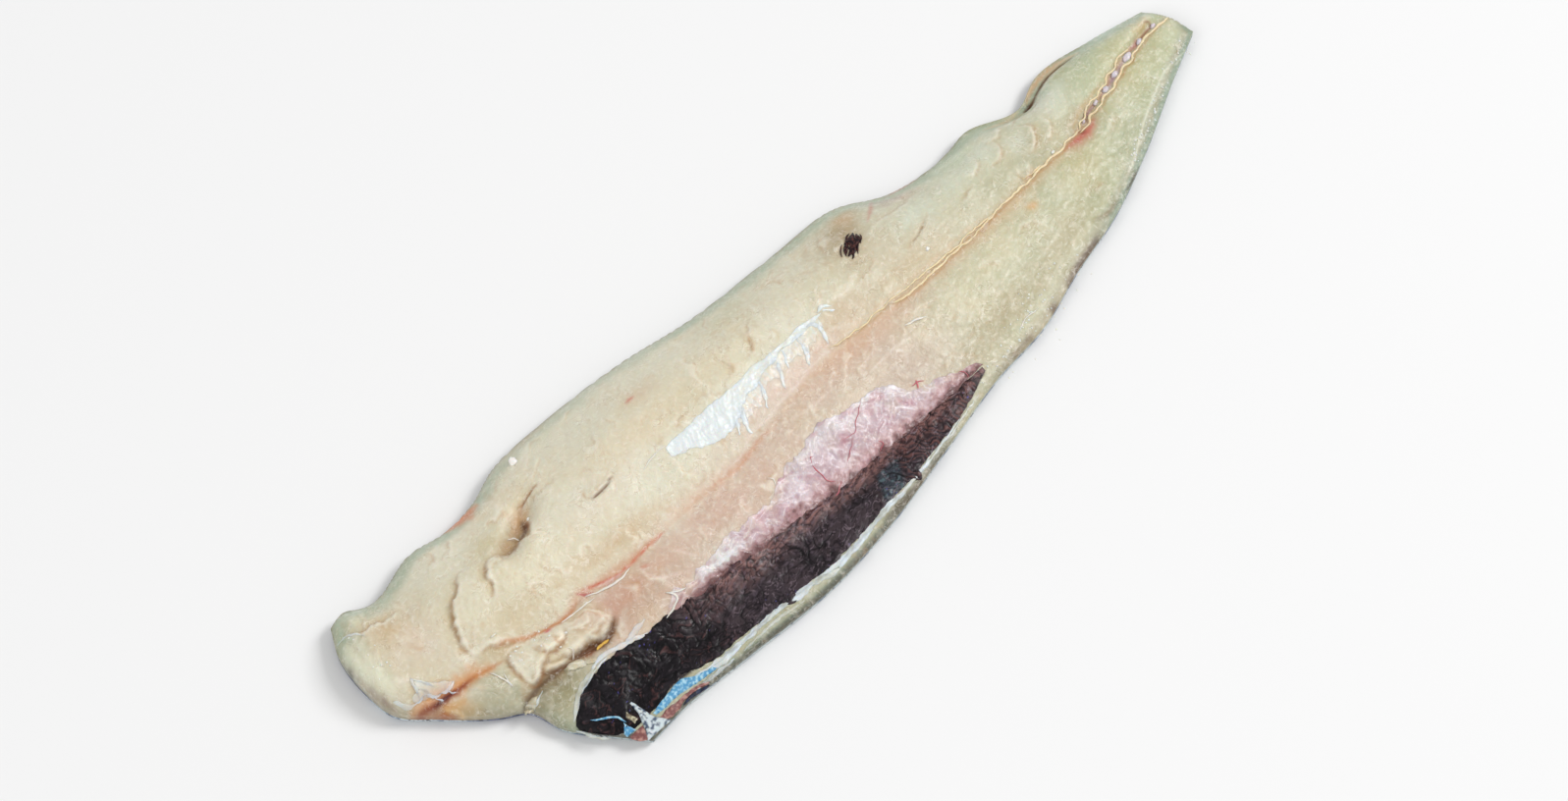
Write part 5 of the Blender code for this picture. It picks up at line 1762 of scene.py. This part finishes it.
def make_specks():
    """A white fleck near the back edge, a yellow bead of fat by the fold and a few pale flecks."""
    white = [lump(-105.8, 50.2, (1.5, 1.9, 0.6), -20, 0.3, 360, lift=0.3)]
    small = ((-18, -19.2, 0.5), (119, 6.4, 0.6), (-119, 28, 0.5), (55, 7.8, 0.7))
    for i, (x, y, r) in enumerate(small):
        white.append(lump(x, y, (1.3 * r, r, 0.4), 20, 0.4, 362 + i, lift=0.1))
    one_toned("white_flecks", white, (244, 242, 236), MEMBRANE, spread=0.03)
    line = ((-134.6, -21.8), (-132.4, -21.2), (-129, -21.6))
    fat = strand(laid(line, 0.5, 0.8), 0.6, 0.5, step=0.4, seed=370)
    one_toned("fat_bead", [fat], (232, 186, 84), MEMBRANE, spread=0.1)


# ---- The skin ----------------------------------------------------------------------------------


def skin_material():
    """Scaleless silver skin: blue black and speckled along the back, silver with blotches on the
    flank, a grey-violet band, and pale with black specks on the belly. Each vertex carries how far
    across it is, from 1 at the back to -1 at the belly."""
    material, tree, shader = new_material("silver_skin")
    place = tree.nodes.new("ShaderNodeTexCoord").outputs["Object"]
    lengthwise = moved(tree, "MULTIPLY", place, (0.35, 1.0, 1.0))
    across = add(tree, "ShaderNodeAttribute", {"attribute_name": "across"}).outputs["Fac"]
    drift = swirls(tree, lengthwise, 9, 4.0).outputs["Fac"]
    wander = computed(tree, "MULTIPLY_ADD", drift, 0.5, across)
    reach = stretched(tree, wander, -0.85, 1.25, "LINEAR")
    bands = add(tree, "ShaderNodeValToRGB", Fac=reach)
    stops = (
        (0.0, (206, 218, 218)), (0.22, (176, 192, 196)), (0.34, (112, 116, 142)),
        (0.42, (120, 124, 150)),
        (0.50, (206, 218, 224)), (0.66, (200, 214, 222)), (0.74, (84, 98, 132)), (1.0, (44, 54, 76)),
    )
    for i, (at, colour) in enumerate(stops):
        stop = bands.color_ramp.elements[i] if i < 2 else bands.color_ramp.elements.new(at)
        stop.position, stop.color = at, rgba(colour)
    blotch = speckled(tree, lengthwise, 3.2, 0.5, 0.62)
    colour = mixed(tree, blotch, bands.outputs["Color"], rgba((150, 164, 188)), "MULTIPLY")
    specks = speckled(tree, place, 1.1, 0.58, 0.66, 2.0)
    colour = mixed(tree, specks, colour, rgba((40, 48, 66)))
    glints = speckled(tree, place, 0.8, 0.62, 0.72, 2.0)
    colour = mixed(tree, glints, colour, rgba((214, 226, 232)))
    tree.links.new(colour, shader.inputs["Base Color"])
    bump = add(tree, "ShaderNodeBump", Strength=0.4, Distance=0.2 * MM, Height=blotch)
    tree.links.new(bump.outputs["Normal"], shader.inputs["Normal"])
    settle(shader, Roughness=0.32, Metallic=0.35, Coat_Weight=0.4, Coat_Roughness=0.15)
    return material


SKIN_SHARE = 0.97  # of the skin's thickness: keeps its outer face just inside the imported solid's


def make_skin():
    """The skin under the flesh: its outer face below, and an inner face just clear of the muscle."""

    def outer(points):
        """What the fillet lies on."""
        return underside_at(read(INSET, points)) - SKIN_THICKNESS * SKIN_SHARE

    def inner(points):
        """What the muscle grows on."""
        return underside_at(read(INSET, points))

    verts, faces = patch(260, 80, outer, inner)
    across = read(SHARE, verts[:, :2])
    return piece("silver_skin", verts, faces, skin_material(), "skin", "skin", across=across)


# ---- Stage, light and camera -------------------------------------------------------------------

AZIMUTH, ELEVATION, DISTANCE, LENS = -45.0, 60.0, 1298.0, 85.0
TARGET = (-17.4, 7.1, 0.0)
FLOOR_HALF, FLOOR_DROP, FLOOR_TONE, FLOOR_ROUGHNESS = 4000, 0.2, 0.86, 0.9
SKY_STRENGTH, LIGHT_DISTANCE = 0.55, 4000
# Soft square lights: name, azimuth, elevation, width, power in watts.
LIGHTS = (("key", 62, 48, 1400, 84), ("fill", -85, 42, 2500, 42))


def direction(azimuth, elevation):
    """From the object towards a place seen at that azimuth and elevation. Azimuth 0 is along -Y."""
    a, e = np.radians(azimuth), np.radians(elevation)
    return Vector((np.sin(a) * np.cos(e), -np.cos(a) * np.cos(e), np.sin(e)))


def make_camera():
    """The view of the photograph."""
    data = bpy.data.cameras.new("camera")
    data.lens = LENS
    camera = bpy.data.objects.new("camera", data)
    back = direction(AZIMUTH, ELEVATION)
    camera.location = (Vector(TARGET) + back * DISTANCE) * MM
    camera.rotation_euler = back.to_track_quat("Z", "Y").to_euler()
    bpy.context.scene.collection.objects.link(camera)
    bpy.context.scene.camera = camera


def make_light(name, azimuth, elevation, width, power):
    """A soft square light that faces the fillet."""
    data = bpy.data.lights.new(name, "AREA")
    data.size, data.energy = width * MM, power
    light = bpy.data.objects.new(name, data)
    toward = direction(azimuth, elevation)
    light.location = toward * (LIGHT_DISTANCE * MM)
    light.rotation_euler = toward.to_track_quat("Z", "Y").to_euler()
    bpy.context.scene.collection.objects.link(light)


def make_floor():
    """The white ground that the fillet's shadow falls on."""
    mesh = bpy.data.meshes.new("floor")
    bm = bmesh.new()
    bmesh.ops.create_grid(bm, x_segments=1, y_segments=1, size=FLOOR_HALF * MM)
    bm.to_mesh(mesh)
    bm.free()
    material, _, shader = new_material("floor")
    settle(shader, Base_Color=(FLOOR_TONE, FLOOR_TONE, FLOOR_TONE, 1), Roughness=FLOOR_ROUGHNESS)
    mesh.materials.append(material)
    floor = bpy.data.objects.new("floor", mesh)
    floor.location.z = -FLOOR_DROP * MM
    bpy.context.scene.collection.objects.link(floor)


def make_stage():
    """The floor, an even white sky and the two lights."""
    make_floor()
    world = bpy.data.worlds.new("studio")
    bpy.context.scene.world = world
    world.use_nodes = True
    settle(world.node_tree.nodes["Background"], Color=(1, 1, 1, 1), Strength=SKY_STRENGTH)
    for light in LIGHTS:
        make_light(*light)
    bpy.context.scene.view_settings.view_transform = "Standard"


for make in (
    make_flesh, make_skin, make_lining, make_pink_film, make_white_film, make_midline, make_bones,
    make_threads, make_vessels, make_flakes, make_torn_edges, make_blue_tissue,
    make_corner_tissue, make_skin_scrap, make_clot, make_wet_beads, make_specks, make_stage,
    make_camera,
):
    make()
